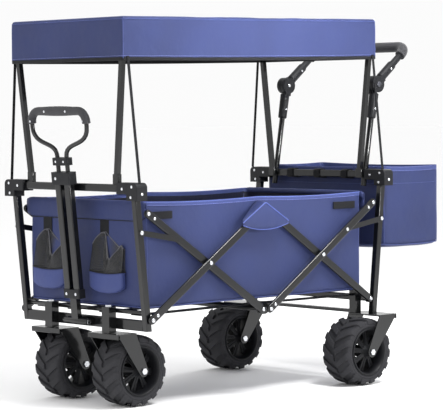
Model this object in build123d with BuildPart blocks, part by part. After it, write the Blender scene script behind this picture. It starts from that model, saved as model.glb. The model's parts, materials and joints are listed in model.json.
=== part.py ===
"""Folding camp wagon: two rigid end frames on four wheels, joined by a double
scissor on each side that carries a fabric basket, with a pull handle in front,
a push handle and a storage bag behind, and a canopy on two hoops.

The floor is z = 0, +Z is up, the pull handle is at -Y and the bag at +Y.
"Left" is the +X side, which is on the left of someone who pulls the wagon.
The origin is on the floor at the middle of the whole wagon's length and width.
"""

import os
from math import cos, radians, sin, tan

from build123d import *

os.makedirs("parts", exist_ok=True)

# ---------------------------------------------------------------- dimensions
# All lengths are in millimetres and all angles in degrees.

# Wheels
wheel_d = 190.0
tyre_w = 100.0
tyre_shoulder = 9.0
tyre_crown = 2.0
tyre_bead = 14.0
rim_d = 126.0
rim_wall = 4.0
rim_lip = 4.0
rim_lip_w = 4.0
rim_inset = 3.0
hub_end_gap = 0.5
hub_d = 34.0
spoke_count = 8
spoke_w = 9.0
spoke_depth = 36.0
axle_d = 10.0
axle_clearance = 0.06
front_wheel_x = 119.0
rear_wheel_out = 11.5

# Forks and casters
fork_gap = 8.0
fork_wall = 3.0
fork_eye_r = 15.0
fork_plate_l = 66.0
rear_fork_plate_l = 72.0
fork_lead = 20.0
wheel_top_gap = 7.0
wheel_trail = 67.0
rear_wheel_trail = 80.0
axle_nut_d = 18.0
axle_nut_h = 4.5
kingpin_d = 12.0
kingpin_nut_d = 18.0
kingpin_nut_h = 5.0
kingpin_clearance = 0.06
stem_w = 30.0
stem_d = 24.0
stem_rise = 44.0
swivel_gap = 0.6

# Side scissors
pivot_rise = 41.0
bar_half = 247.0
bar_angle = 33.8
bar_w = 22.0
bar_t = 9.0
bar_wall = 1.5
hub_pivot_half = 8.0
inner_bar_out = 4.0
bar_spacing = 4.0
pin_d = 6.0
pin_clearance = 0.06
open_pivot_clearance = 0.6
pin_spacer_d = 8.0
pin_head_d = 11.0
pin_head_h = 1.8
head_gap = 0.15
hub_plate_t = 4.5
hub_plate_gap = 0.5
hub_plate_h = 30.0
link_w = 15.0
link_t = 2.5
link_gap = 0.4
link_pivot_drop = 47.81
link_share = 0.523
cross_tube_d = 16.0

# End frames
upright_w = 18.0
upright_wall = 1.5
upright_x = 247.5
lean = 5.9
front_upright_offset = 4.5
rear_upright_gap = 1.0
front_upright_drop = 14.0
crossbar_w = 20.0
crossbar_d = 22.0
front_crossbar_rise = 66.19
rear_crossbar_rise = 77.19
lower_bar_h = 28.0
lower_bar_d = 16.0
lower_bar_drop = 16.0
floor_rail_d = 12.0
stem_back_gap = 1.5
rear_lower_bar_drop = 1.0
rear_lower_bar_h = 18.0
rear_beam_h = 9.0
rear_beam_d = 20.0
rear_post_w = 24.0
rear_post_inset = 35.5
rear_post_gap = 18.0
tab_t = 4.0
tab_gap = 0.5
bracket_w = 38.0
bracket_wall = 5.0
bracket_side = 19.5
bracket_edge = 3.0
bracket_drop = 46.0
bracket_rise = 5.0
bracket_arm = 82.0
bracket_arm_h = 30.0
bracket_corner = 13.0
fit_gap = 0.2

# Basket and its front pockets
basket_side_gap = 1.5
basket_rim_rise = 28.19
basket_floor_rise = 24.0
basket_wall = 3.0
basket_floor_t = 8.0
basket_corner = 18.0
basket_front_over = 2.0
basket_rear_set = 16.0
pocket_w = 118.0
pocket_h = 58.0
pocket_d = 17.0
pocket_x = 108.0
pocket_rise = 38.0
pocket_wall = 2.0
soft_gap = 0.3

# Rear bag
bag_side_gap = 0.5
bag_length = 238.0
bag_rim_rise = 20.0
bag_depth = 238.0
bag_wall = 3.0
bag_corner = 14.0

# Canopy
canopy_side_inset = 15.5
canopy_front_over = 22.0
canopy_rear_set = 7.0
canopy_rise = 442.0
canopy_pitch = 0.75
canopy_depth = 112.0
canopy_wall = 2.0
canopy_corner = 12.0
hoop_w = 13.0
hoop_foot_inset = 69.5
hoop_foot_w = 24.0
hoop_foot_h = 26.0
hoop_top_inset = 15.0
hoop_bend_drop = 86.0
hoop_top_gap = 0.5
hoop_side_gap = 3.0
hoop_foot_gap = 0.5
strap_w = 8.0
strap_t = 2.0
strap_foot_out = 18.5
strap_overlap = 10.0
strap_inset = 14.0
strap_rear_set = 16.0

# Pull handle
handle_hinge_reach = 22.0
barrel_d = 18.0
barrel_half = 44.0
hinge_bolt_d = 8.0
hinge_clearance = 0.06
ear_t = 3.0
ear_gap = 0.5
hinge_head_d = 14.0
hinge_head_h = 3.5
handle_stem_w = 26.0
handle_stem_d = 14.0
outer_start = 70.0
outer_length = 326.0
outer_w = 23.0
outer_d = 18.0
outer_wall = 1.5
outer_x = 19.0
bottom_clip_w = 64.0
bottom_clip_d = 25.0
bottom_clip_h = 24.0
top_cap_w = 76.0
top_cap_d = 28.0
top_cap_h = 33.0
cap_over = 3.0
clip_under = 8.0
inner_d = 12.0
inner_wall = 1.5
inner_clearance = 0.08
inner_insert = 300.0
bridge_w = 62.0
bridge_d = 22.0
bridge_h = 20.0
bridge_rise = 18.0
loop_half = 113.0
loop_shoulder = 68.0
loop_height = 123.0
loop_neck = 8.0
loop_neck_r = 10.0
loop_corner = 28.0
grip_d = 22.0
grip_drop = 33.0

# Push handle
push_inset = 65.5
push_tube_d = 16.0
push_tube_wall = 1.5
push_tube_below = 34.0
push_lean = 9.9
push_hub_rise = 263.0
push_hub_r = 24.0
push_hub_t = 15.0
push_hub_gap = 0.3
push_neck_r = 26.5
push_sleeve_d = 24.0
push_sleeve_l = 60.0
push_neck_w = 20.0
push_tube_seat = 4.0
push_pin_d = 10.0
push_leg = 178.0
push_rise = 38.0
push_corner = 38.0
push_grip_d = 30.0
push_grip_leg = 42.0
button_d = 16.0
button_proud = 3.0
button_depth = 8.0
button_clearance = 0.1

# ------------------------------------------------------------ worked-out places
wheel_r = wheel_d / 2

# Everything stands on the wheels, and its height follows theirs.
fork_top_z = wheel_d + wheel_top_gap
pivot_z = fork_top_z + pivot_rise
lower_bar_z = pivot_z - lower_bar_drop
rear_lower_bar_z = pivot_z - rear_lower_bar_drop
front_upright_base_z = lower_bar_z - front_upright_drop
stem_top_z = lower_bar_z + stem_rise
handle_hinge_z = lower_bar_z
top_pivot_z = pivot_z + 2 * bar_half * sin(radians(bar_angle))
link_pivot_z = top_pivot_z - link_pivot_drop
front_crossbar_z = top_pivot_z + front_crossbar_rise
rear_crossbar_z = top_pivot_z + rear_crossbar_rise
basket_rim_z = top_pivot_z + basket_rim_rise
basket_floor_z = pivot_z + basket_floor_rise
pocket_z = basket_floor_z + pocket_rise
bag_rim_z = rear_crossbar_z + bag_rim_rise
canopy_top_z = front_crossbar_z + canopy_rise
hoop_bend_z = canopy_top_z - hoop_bend_drop

# Everything across the wagon follows the uprights.
inner_bar_x = upright_x + inner_bar_out
outer_bar_x = inner_bar_x + bar_t + bar_spacing
rear_wheel_x = upright_x + rear_wheel_out
rear_post_x = upright_x - rear_post_inset
basket_half_w = upright_x - upright_w / 2 - basket_side_gap
bag_half_w = upright_x - upright_w / 2 - bag_side_gap
canopy_half_w = upright_x - canopy_side_inset
hoop_top_x = canopy_half_w - hoop_top_inset
hoop_foot_x = upright_x - hoop_foot_inset
strap_foot_x = upright_x + strap_foot_out
push_x = upright_x - push_inset

lean_dir = (sin(radians(lean)), cos(radians(lean)))
bar_run = bar_half * cos(radians(bar_angle))
bar_rise = bar_half * sin(radians(bar_angle))
pivot_reach = hub_pivot_half + 2 * bar_run
upright_outer_x = upright_x + upright_w / 2
upright_inner_x = upright_x - upright_w / 2
outer_face = outer_bar_x + bar_t / 2
inner_face = inner_bar_x + bar_t / 2
fork_half = tyre_w / 2 + fork_gap + fork_wall

# Distances from the wagon's middle to the front and rear uprights at the pivots' height.
front_upright_reach = pivot_reach + front_upright_offset
rear_upright_reach = pivot_reach + bar_w / 2 + rear_upright_gap + upright_w / 2

# The pull handle's grip and the bag's back wall are the two ends of the wagon.
handle_root_reach = (
    front_upright_reach
    + (lower_bar_z - pivot_z) * tan(radians(lean))
    + lower_bar_d / 2
    + handle_hinge_reach
)
handle_length = (
    outer_start + outer_length + cap_over + bridge_rise + bridge_h + loop_height
)
front_reach = handle_root_reach + handle_length * lean_dir[0] + grip_d / 2
bag_front_reach = (
    rear_upright_reach
    + (rear_crossbar_z - pivot_z) * tan(radians(lean))
    + bracket_w / 2
    + soft_gap
)
rear_reach = bag_front_reach + bag_length
mid_y = (front_reach - rear_reach) / 2


def front_y(z):
    """Y of the front frame's centre line at a height."""
    return mid_y - front_upright_reach - (z - pivot_z) * tan(radians(lean))


def rear_y(z):
    """Y of the rear frame's centre line at a height."""
    return mid_y + rear_upright_reach + (z - pivot_z) * tan(radians(lean))


caster_y = front_y(lower_bar_z) - lower_bar_d / 2 - stem_d / 2
front_axle_y = caster_y + wheel_trail
rear_stem_y = rear_y(fork_top_z)
rear_axle_y = rear_stem_y - rear_wheel_trail
handle_root_y = mid_y - handle_root_reach


def save(part, name):
    """Label a finished sub-part and write it to its own file."""
    part.label = name
    export_step(part, f"parts/{name}.step")


def both_sides(part):
    """A sub-part of the left side with its mirror image on the right."""
    return Compound(children=[*part.solids(), *mirror(part, about=Plane.YZ).solids()])


def at_x(x):
    """The YZ plane at an x: its own axes are Y and Z, and it faces +X."""
    return Plane.YZ.offset(x)


# ------------------------------------------------------------------- wheels
def tyre_part(x, y):
    """A wide tyre with rounded shoulders and a bore that seats on the rim."""
    with BuildPart() as tyre:
        with BuildSketch(Plane.XY) as section:
            with BuildLine():
                half = tyre_w / 2
                seat = rim_d / 2
                flank = half - rim_inset
                Polyline(
                    (-flank, seat),
                    (-flank, seat + rim_lip + fit_gap),
                    (-half, seat + tyre_bead),
                    (-half, wheel_r - tyre_shoulder),
                    (-half + tyre_shoulder, wheel_r - tyre_crown),
                    (0, wheel_r),
                    (half - tyre_shoulder, wheel_r - tyre_crown),
                    (half, wheel_r - tyre_shoulder),
                    (half, seat + tyre_bead),
                    (flank, seat + rim_lip + fit_gap),
                    (flank, seat),
                    close=True,
                )
            make_face()
        revolve(axis=Axis.X)
    return tyre.part.moved(Location((x, y, wheel_r)))


def rim_part(x, y):
    """A moulded rim: barrel, two lips, a hub on the axle and flat spokes."""
    half = tyre_w / 2 - rim_inset
    barrel_r = rim_d / 2
    with BuildPart() as rim:
        with BuildSketch(at_x(-half)):
            Circle(barrel_r)
            Circle(barrel_r - rim_wall, mode=Mode.SUBTRACT)
        extrude(amount=2 * half)
        with BuildSketch(at_x(-half - rim_lip_w), at_x(half)):
            Circle(barrel_r + rim_lip)
            Circle(barrel_r - rim_wall, mode=Mode.SUBTRACT)
        extrude(amount=rim_lip_w)
        with BuildSketch(at_x(-fork_half + fork_wall + hub_end_gap)):
            Circle(hub_d / 2)
        extrude(amount=2 * (fork_half - fork_wall - hub_end_gap))
        with BuildSketch(at_x(-spoke_depth / 2)):
            with PolarLocations(barrel_r / 2, spoke_count):
                Rectangle(barrel_r - rim_wall / 2, spoke_w)
        extrude(amount=spoke_depth)
        with BuildSketch(at_x(-fork_half)):
            Circle(axle_d / 2 + axle_clearance)
        extrude(amount=2 * fork_half, mode=Mode.SUBTRACT)
    return rim.part.moved(Location((x, y, wheel_r)))


def fork_part(x, stem_y, axle_y, plate_end):
    """A folded fork: a top plate and two cheeks that narrow to the axle's eyes."""
    side = 1 if axle_y > stem_y else -1
    front = stem_y - side * fork_lead
    back = front + side * plate_end
    with BuildPart() as fork:
        with BuildSketch(Plane.XY.offset(fork_top_z - fork_wall)):
            with Locations((x, (front + back) / 2)):
                RectangleRounded(2 * fork_half, abs(back - front), 5)
        extrude(amount=fork_wall)
        with BuildSketch(at_x(x - fork_half), at_x(x + fork_half - fork_wall)):
            with Locations((axle_y, wheel_r)):
                Circle(fork_eye_r)
            with Locations(((front + back) / 2, fork_top_z - 5)):
                Rectangle(abs(back - front) - 10, 10)
            make_hull()
        extrude(amount=fork_wall)
        with BuildSketch(at_x(x - fork_half)):
            with Locations((axle_y, wheel_r)):
                Circle(axle_d / 2)
        extrude(amount=2 * fork_half, mode=Mode.SUBTRACT)
    return fork.part


def axle_part(x, axle_y):
    """An axle bolt with a head and a nut against the fork's cheeks."""
    with BuildPart() as axle:
        with BuildSketch(at_x(x - fork_half - axle_nut_h)):
            with Locations((axle_y, wheel_r)):
                Circle(axle_d / 2)
        extrude(amount=2 * (fork_half + axle_nut_h))
        with BuildSketch(at_x(x - fork_half - axle_nut_h), at_x(x + fork_half)):
            with Locations((axle_y, wheel_r)):
                RegularPolygon(axle_nut_d / 2, 6)
        extrude(amount=axle_nut_h)
    return axle.part


for side, x_sign in (("left", 1), ("right", -1)):
    save(tyre_part(x_sign * front_wheel_x, front_axle_y), f"front_tyre_{side}")
    save(tyre_part(x_sign * rear_wheel_x, rear_axle_y), f"rear_tyre_{side}")
    save(rim_part(x_sign * front_wheel_x, front_axle_y), f"front_rim_{side}")
    save(rim_part(x_sign * rear_wheel_x, rear_axle_y), f"rear_rim_{side}")

# Caster forks swing on a kingpin that runs up through the stem.
for side, x_sign in (("left", 1), ("right", -1)):
    stem_x = x_sign * front_wheel_x
    with BuildPart() as caster:
        add(fork_part(stem_x, caster_y, front_axle_y, fork_plate_l))
        with BuildSketch(Plane.XY.offset(fork_top_z - fork_wall)):
            with Locations((stem_x, caster_y)):
                Circle(kingpin_d / 2)
        extrude(amount=fork_wall, mode=Mode.SUBTRACT)
    save(caster.part, f"front_fork_{side}")

    with BuildPart() as kingpin:
        with BuildSketch(Plane.XY.offset(fork_top_z - fork_wall)):
            with Locations((stem_x, caster_y)):
                Circle(kingpin_d / 2)
        extrude(amount=stem_top_z + head_gap + kingpin_nut_h - fork_top_z + fork_wall)
        with BuildSketch(Plane.XY.offset(stem_top_z + head_gap)):
            with Locations((stem_x, caster_y)):
                RegularPolygon(kingpin_nut_d / 2, 6)
        extrude(amount=kingpin_nut_h)
    bolts = [axle_part(stem_x, front_axle_y), kingpin.part]
    save(Compound(children=bolts), f"front_axle_{side}")

# Rear forks are fixed under the rear uprights.
rear_fork = fork_part(rear_wheel_x, rear_stem_y, rear_axle_y, rear_fork_plate_l)
save(both_sides(rear_fork), "rear_forks")
save(both_sides(axle_part(rear_wheel_x, rear_axle_y)), "rear_axles")


# ------------------------------------------------------------- side scissors
def place(reach, height):
    """A point on a scissor's plane from its distance ahead of or behind the middle."""
    return (mid_y + reach, height)


front_low = place(-pivot_reach, pivot_z)
front_high = place(-pivot_reach, top_pivot_z)
rear_low = place(pivot_reach, pivot_z)
rear_high = place(pivot_reach, top_pivot_z)
mid_low_front = place(-hub_pivot_half, pivot_z)
mid_low_rear = place(hub_pivot_half, pivot_z)
mid_high_front = place(-hub_pivot_half, top_pivot_z)
mid_high_rear = place(hub_pivot_half, top_pivot_z)
front_cross = place(-hub_pivot_half - bar_run, pivot_z + bar_rise)
rear_cross = place(hub_pivot_half + bar_run, pivot_z + bar_rise)


def between(start, end, share):
    """A point part of the way from one point to another."""
    return tuple(a + share * (b - a) for a, b in zip(start, end))


def side_bar(x, start, end, holes):
    """A flat-oval tube between two pivots, drilled for its pins."""
    angle = bar_angle if end[1] > start[1] else -bar_angle
    centre = between(start, end, 0.5)
    with BuildPart() as bar:
        with BuildSketch(at_x(x - bar_t / 2)):
            with Locations(centre):
                SlotCenterToCenter(2 * bar_half, bar_w, rotation=angle)
        extrude(amount=bar_t)
        with BuildSketch(at_x(x - bar_t / 2 + bar_wall)):
            with Locations(centre):
                SlotCenterToCenter(2 * bar_half, bar_w - 2 * bar_wall, rotation=angle)
        extrude(amount=bar_t - 2 * bar_wall, mode=Mode.SUBTRACT)
        for point, clearance in holes:
            with BuildSketch(at_x(x - bar_t / 2)):
                with Locations(point):
                    Circle(pin_d / 2 + clearance)
            extrude(amount=bar_t, mode=Mode.SUBTRACT)
    return bar.part


def pivot_pin(point, base_x, spacer_x, end_x):
    """A shouldered rivet: spacer from its seat, shank through the bar and head."""
    with BuildPart() as pin:
        with BuildSketch(at_x(base_x)):
            with Locations(point):
                Circle(pin_d / 2)
        extrude(amount=end_x + head_gap + pin_head_h - base_x)
        if spacer_x > base_x:
            with BuildSketch(at_x(base_x)):
                with Locations(point):
                    Circle(pin_spacer_d / 2)
            extrude(amount=spacer_x - head_gap - base_x)
        with BuildSketch(at_x(end_x + head_gap)):
            with Locations(point):
                Circle(pin_head_d / 2)
        extrude(amount=pin_head_h)
    return pin.part


close_fit = pin_clearance
bar_a = side_bar(
    inner_bar_x, front_high, mid_low_front, [(mid_low_front, close_fit)]
)
bar_b = side_bar(
    outer_bar_x,
    front_low,
    mid_high_front,
    [(front_low, close_fit), (front_cross, close_fit), (mid_high_front, open_pivot_clearance)],
)
bar_c = side_bar(
    outer_bar_x,
    mid_low_rear,
    rear_high,
    [(mid_low_rear, close_fit), (rear_cross, close_fit)],
)
bar_d = side_bar(
    inner_bar_x,
    mid_high_rear,
    rear_low,
    [(mid_high_rear, close_fit), (rear_low, close_fit)],
)
for bar, name in ((bar_a, "a"), (bar_b, "b"), (bar_c, "c"), (bar_d, "d")):
    save(both_sides(bar), f"side_bars_{name}")

outer_back = outer_bar_x - bar_t / 2
cross_pin_front = pivot_pin(front_cross, inner_face, outer_back, outer_face)
save(both_sides(cross_pin_front), "front_cross_rivets")
cross_pin_rear = pivot_pin(rear_cross, inner_face, outer_back, outer_face)
save(both_sides(cross_pin_rear), "rear_cross_rivets")

hub_face = inner_bar_x - bar_t / 2 - hub_plate_gap


def hub_plate(height):
    """The plate that carries the two pivots in the middle of a side."""
    with BuildPart() as plate:
        with BuildSketch(at_x(hub_face - hub_plate_t)):
            with Locations(place(0, height)):
                SlotCenterToCenter(2 * hub_pivot_half, hub_plate_h)
        extrude(amount=hub_plate_t)
    return plate.part


save(both_sides(hub_plate(pivot_z)), "bottom_hubs")
save(both_sides(hub_plate(top_pivot_z)), "top_hubs")

with BuildPart() as cross_tube:
    with BuildSketch(at_x(-hub_face + hub_plate_t)):
        with Locations(place(0, pivot_z)):
            Circle(cross_tube_d / 2)
            Circle(cross_tube_d / 2 - upright_wall, mode=Mode.SUBTRACT)
    extrude(amount=2 * (hub_face - hub_plate_t))
save(cross_tube.part, "centre_cross_tube")


def hub_pins(inner_point, outer_point):
    """The two pivot pins of a middle hub, one short and one long."""
    short = pivot_pin(inner_point, hub_face, hub_face, inner_face)
    long = pivot_pin(outer_point, hub_face, outer_back, outer_face)
    return both_sides(Compound(children=[short, long]))


save(hub_pins(mid_low_front, mid_low_rear), "bottom_hub_pins")
save(hub_pins(mid_high_rear, mid_high_front), "top_hub_pins")

# Stabiliser links run from each upright to the long bar beside it.
link_x = upright_outer_x + link_gap
front_link_root = (front_y(link_pivot_z), link_pivot_z)
rear_link_root = (rear_y(link_pivot_z), link_pivot_z)
front_link_tip = between(front_high, front_cross, link_share)
rear_link_tip = between(rear_high, rear_cross, link_share)


def link_part(root, tip):
    """A flat link with a pivot hole at the upright."""
    with BuildPart() as link:
        with BuildSketch(at_x(link_x)):
            with Locations(root, tip):
                Circle(link_w / 2)
            make_hull()
            with Locations(root):
                Circle(pin_d / 2 + pin_clearance, mode=Mode.SUBTRACT)
        extrude(amount=link_t)
    return link.part


save(both_sides(link_part(front_link_root, front_link_tip)), "front_links")
save(both_sides(link_part(rear_link_root, rear_link_tip)), "rear_links")


# --------------------------------------------------------------- end frames
def lean_plane(y, z, direction, x=0.0):
    """A plane square to a frame's lean; direction is -1 in front and 1 behind."""
    return Plane(
        origin=(x, y, z),
        x_dir=(1, 0, 0),
        z_dir=(0, direction * lean_dir[0], lean_dir[1]),
    )


def upright(y_at, base_z, top_z, direction):
    """A square tube that leans outwards, cut level at both ends."""
    height = top_z - base_z
    base = lean_plane(y_at(base_z - 20), base_z - 20, direction, upright_x)
    with BuildPart() as tube:
        with BuildSketch(base):
            RectangleRounded(upright_w, upright_w, 2.5)
            RectangleRounded(
                upright_w - 2 * upright_wall, upright_w - 2 * upright_wall, 1,
                mode=Mode.SUBTRACT,
            )
        extrude(amount=height + 60)
        split(bisect_by=Plane.XY.offset(base_z), keep=Keep.TOP)
        split(bisect_by=Plane.XY.offset(top_z), keep=Keep.BOTTOM)
    return tube.part


front_top_z = front_crossbar_z + crossbar_w / 2
rear_top_z = rear_crossbar_z + crossbar_w / 2

# A thin rail is welded across the front uprights, under the basket's front edge.
lower_y = front_y(lower_bar_z)
lower_front = lower_y - lower_bar_d / 2
rail_z = basket_floor_z - soft_gap - floor_rail_d / 2
rail_y = lower_front + stem_back_gap + floor_rail_d / 2
with BuildPart() as rail:
    with BuildSketch(at_x(-upright_inner_x)):
        with Locations((rail_y, rail_z)):
            Circle(floor_rail_d / 2)
            Circle(floor_rail_d / 2 - upright_wall, mode=Mode.SUBTRACT)
    extrude(amount=2 * upright_inner_x)
front_upright = upright(front_y, front_upright_base_z, front_top_z, -1)
front_pair = both_sides(front_upright).solids()
save(Compound(children=[*front_pair, rail.part.solid()]), "front_uprights")

# The rear uprights carry a welded tab for the scissor's lower pivot.
tab_face = inner_bar_x - bar_t / 2 - tab_gap
tab_back = rear_y(pivot_z) - upright_w / 2 + upright_wall / 2
with BuildPart() as rear_upright:
    add(upright(rear_y, fork_top_z, rear_top_z, 1))
    with BuildSketch(at_x(tab_face - tab_t)):
        with Locations(rear_low):
            Circle(bar_w / 2)
        with Locations(((rear_low[0] + tab_back) / 2, pivot_z)):
            Rectangle(tab_back - rear_low[0], bar_w)
    extrude(amount=tab_t)
save(both_sides(rear_upright.part), "rear_uprights")


def crossbar(y, z, half, depth, height):
    """A rectangular tube across the wagon."""
    with BuildPart() as bar:
        with BuildSketch(at_x(-half)):
            with Locations((y, z)):
                RectangleRounded(depth, height, 2.5)
                RectangleRounded(
                    depth - 2 * upright_wall, height - 2 * upright_wall, 1,
                    mode=Mode.SUBTRACT,
                )
        extrude(amount=2 * half)
    return bar.part


front_crossbar = crossbar(
    front_y(front_crossbar_z), front_crossbar_z, upright_inner_x, crossbar_d, crossbar_w
)
save(front_crossbar, "front_top_crossbar")

push_dir = (sin(radians(push_lean)), cos(radians(push_lean)))
push_plane = Plane(
    origin=(0, rear_y(rear_crossbar_z), rear_crossbar_z),
    x_dir=(1, 0, 0),
    z_dir=(0, push_dir[0], push_dir[1]),
)
rear_y_top = rear_y(rear_crossbar_z)
with BuildPart() as rear_crossbar:
    add(crossbar(rear_y_top, rear_crossbar_z, upright_inner_x, crossbar_d, crossbar_w))
    with BuildSketch(push_plane.offset(-crossbar_w)):
        with Locations((push_x, 0), (-push_x, 0)):
            Circle(push_tube_d / 2)
    extrude(amount=2 * crossbar_w, mode=Mode.SUBTRACT)
save(rear_crossbar.part, "rear_top_crossbar")

# Front lower crossbar with the caster stems and the handle's ears.
ear_x = barrel_half + ear_gap
with BuildPart() as front_lower:
    add(crossbar(lower_y, lower_bar_z, upright_inner_x, lower_bar_d, lower_bar_h))
    stem_base_z = fork_top_z + swivel_gap
    with BuildSketch(Plane.XY.offset(stem_base_z)):
        with Locations((front_wheel_x, caster_y), (-front_wheel_x, caster_y)):
            Rectangle(stem_w, stem_d)
    extrude(amount=stem_top_z - stem_base_z)
    with BuildSketch(Plane.XY.offset(stem_base_z)):
        with Locations((front_wheel_x, caster_y), (-front_wheel_x, caster_y)):
            Circle(kingpin_d / 2 + kingpin_clearance)
    extrude(amount=stem_top_z - stem_base_z, mode=Mode.SUBTRACT)
    with BuildSketch(at_x(ear_x), at_x(-ear_x - ear_t)):
        with Locations((handle_root_y, handle_hinge_z)):
            Circle(barrel_d / 2)
        with Locations(((handle_root_y + lower_front) / 2, handle_hinge_z)):
            Rectangle(lower_front - handle_root_y, barrel_d)
        with Locations((handle_root_y, handle_hinge_z)):
            Circle(hinge_bolt_d / 2, mode=Mode.SUBTRACT)
    extrude(amount=ear_t)
save(front_lower.part, "front_lower_crossbar")

# Rear lower crossbar, and the beam and posts that join the forks and hold the floor.
rear_lower = crossbar(
    rear_y(rear_lower_bar_z), rear_lower_bar_z, upright_inner_x, upright_w, rear_lower_bar_h
)
post_y = rear_y(rear_lower_bar_z) - upright_w / 2 - rear_post_gap - rear_post_w / 2
post_top_z = basket_floor_z - soft_gap
with BuildPart() as beam:
    with BuildSketch(Plane.XY.offset(fork_top_z)):
        with Locations((0, post_y)):
            Rectangle(2 * rear_post_x + rear_post_w, rear_beam_d)
    extrude(amount=rear_beam_h)
    with BuildSketch(Plane.XY.offset(fork_top_z)):
        with Locations((rear_post_x, post_y), (-rear_post_x, post_y)):
            Rectangle(rear_post_w, rear_post_w)
    extrude(amount=post_top_z - fork_top_z)
lower_bars = [rear_lower.solid(), beam.part.solid()]
save(Compound(children=lower_bars), "rear_lower_crossbars")


# ---------------------------------------------------------- corner brackets
def bracket_part(y_at, bar_z, direction):
    """A moulded corner housing, with pockets for the upright and the crossbar."""
    outer_x = upright_outer_x + bracket_side
    top = bar_z + crossbar_w / 2 + bracket_rise
    low = top - bracket_drop
    inner_x = upright_inner_x - bracket_wall
    arm_x = outer_x - bracket_arm
    middle = y_at(bar_z)
    pocket = lean_plane(y_at(low - bracket_w), low - bracket_w, direction, upright_x)
    pocket_l = (
        (bracket_w + bracket_drop - bracket_rise) / lean_dir[1]
        + upright_w / 2 * tan(radians(lean))
        + fit_gap
    )
    with BuildPart() as bracket:
        with BuildSketch(Plane.XZ.offset(-middle - bracket_w / 2)) as side:
            with BuildLine():
                Polyline(
                    (arm_x, top),
                    (outer_x, top),
                    (outer_x, low),
                    (inner_x, low),
                    (inner_x, top - bracket_arm_h),
                    (arm_x, top - bracket_arm_h),
                    close=True,
                )
            make_face()
            outer_corner = side.vertices().group_by(Axis.X)[-1].sort_by(Axis.Y)[-1]
            fillet(outer_corner, bracket_corner)
        extrude(amount=bracket_w)
        rims = bracket.faces().group_by(Axis.Y)
        fillet(rims[0].edges() + rims[-1].edges(), bracket_edge)
        with BuildSketch(pocket):
            Rectangle(upright_w + 2 * fit_gap, upright_w + 2 * fit_gap)
        extrude(amount=pocket_l, mode=Mode.SUBTRACT)
        with BuildSketch(at_x(arm_x)):
            with Locations((middle, bar_z)):
                Rectangle(crossbar_d + 2 * fit_gap, crossbar_w + 2 * fit_gap)
        extrude(amount=upright_inner_x - arm_x, mode=Mode.SUBTRACT)
    return bracket.part


save(both_sides(bracket_part(front_y, front_crossbar_z, -1)), "front_brackets")
save(both_sides(bracket_part(rear_y, rear_crossbar_z, 1)), "rear_brackets")

# ------------------------------------------------------------ frame rivets
link_face = link_x + link_t
front_pins = [
    pivot_pin(front_low, upright_outer_x, outer_back, outer_face),
    pivot_pin(front_link_root, upright_outer_x, upright_outer_x, link_face),
]
rear_pins = [
    pivot_pin(rear_low, tab_face, tab_face, inner_face),
    pivot_pin(rear_link_root, upright_outer_x, upright_outer_x, link_face),
]
save(both_sides(Compound(children=front_pins)), "front_frame_rivets")
save(both_sides(Compound(children=rear_pins)), "rear_frame_rivets")


# ------------------------------------------------------------------- canopy
canopy_front_y = front_y(front_crossbar_z) - canopy_front_over
canopy_rear_y = rear_y(rear_crossbar_z) - canopy_rear_set
canopy_length = canopy_rear_y - canopy_front_y
canopy_plane = Plane(
    origin=(0, canopy_front_y, canopy_top_z),
    x_dir=(1, 0, 0),
    z_dir=(0, -sin(radians(canopy_pitch)), cos(radians(canopy_pitch))),
)


def canopy_z(y, depth):
    """Height of the canopy at a y, a given depth below its top."""
    return canopy_top_z + (y - canopy_front_y) * tan(radians(canopy_pitch)) - depth


with BuildPart() as canopy:
    with BuildSketch(canopy_plane):
        with Locations((0, canopy_length / 2)):
            RectangleRounded(2 * canopy_half_w, canopy_length, canopy_corner)
    extrude(amount=-canopy_depth)
    with BuildSketch(canopy_plane.offset(-canopy_wall)):
        with Locations((0, canopy_length / 2)):
            RectangleRounded(
                2 * (canopy_half_w - canopy_wall),
                canopy_length - 2 * canopy_wall,
                canopy_corner - canopy_wall,
            )
    extrude(amount=-canopy_depth, mode=Mode.SUBTRACT)
save(canopy.part, "canopy_cover")


def strut(start, end, width, depth):
    """A straight bar of rectangular section between two points."""
    run = Vector(*end) - Vector(*start)
    across = Vector(0, 1, 0).cross(run)
    with BuildPart() as bar:
        with BuildSketch(Plane(origin=start, x_dir=across, z_dir=run)):
            Rectangle(width, depth)
        extrude(amount=run.length)
    return bar.part


def hoop_part(foot_y, foot_z, top_y):
    """Two leaning legs, upright corner posts and a top bar under the canopy."""
    top_z = canopy_z(top_y - hoop_w / 2, canopy_wall) - hoop_top_gap
    inside_foot = (hoop_foot_x, foot_y, foot_z + hoop_foot_h / 2)
    bend = (hoop_top_x, top_y, hoop_bend_z)
    with BuildPart() as leg:
        add(strut(inside_foot, bend, hoop_w, hoop_w))
        with BuildSketch(Plane.XY.offset(foot_z)):
            with Locations((hoop_foot_x, foot_y)):
                RectangleRounded(hoop_foot_w, hoop_w, 3)
        extrude(amount=hoop_foot_h)
        with BuildSketch(Plane.XY.offset(hoop_bend_z - hoop_w / 2)):
            with Locations((hoop_top_x, top_y)):
                Rectangle(hoop_w, hoop_w)
        extrude(amount=top_z - hoop_bend_z + hoop_w / 2)
    with BuildPart() as hoop:
        add(leg.part)
        mirror(leg.part, about=Plane.YZ)
        with BuildSketch(at_x(-hoop_top_x)):
            with Locations((top_y, top_z - hoop_w / 2)):
                Rectangle(hoop_w, hoop_w)
        extrude(amount=2 * hoop_top_x)
    return hoop.part


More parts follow.
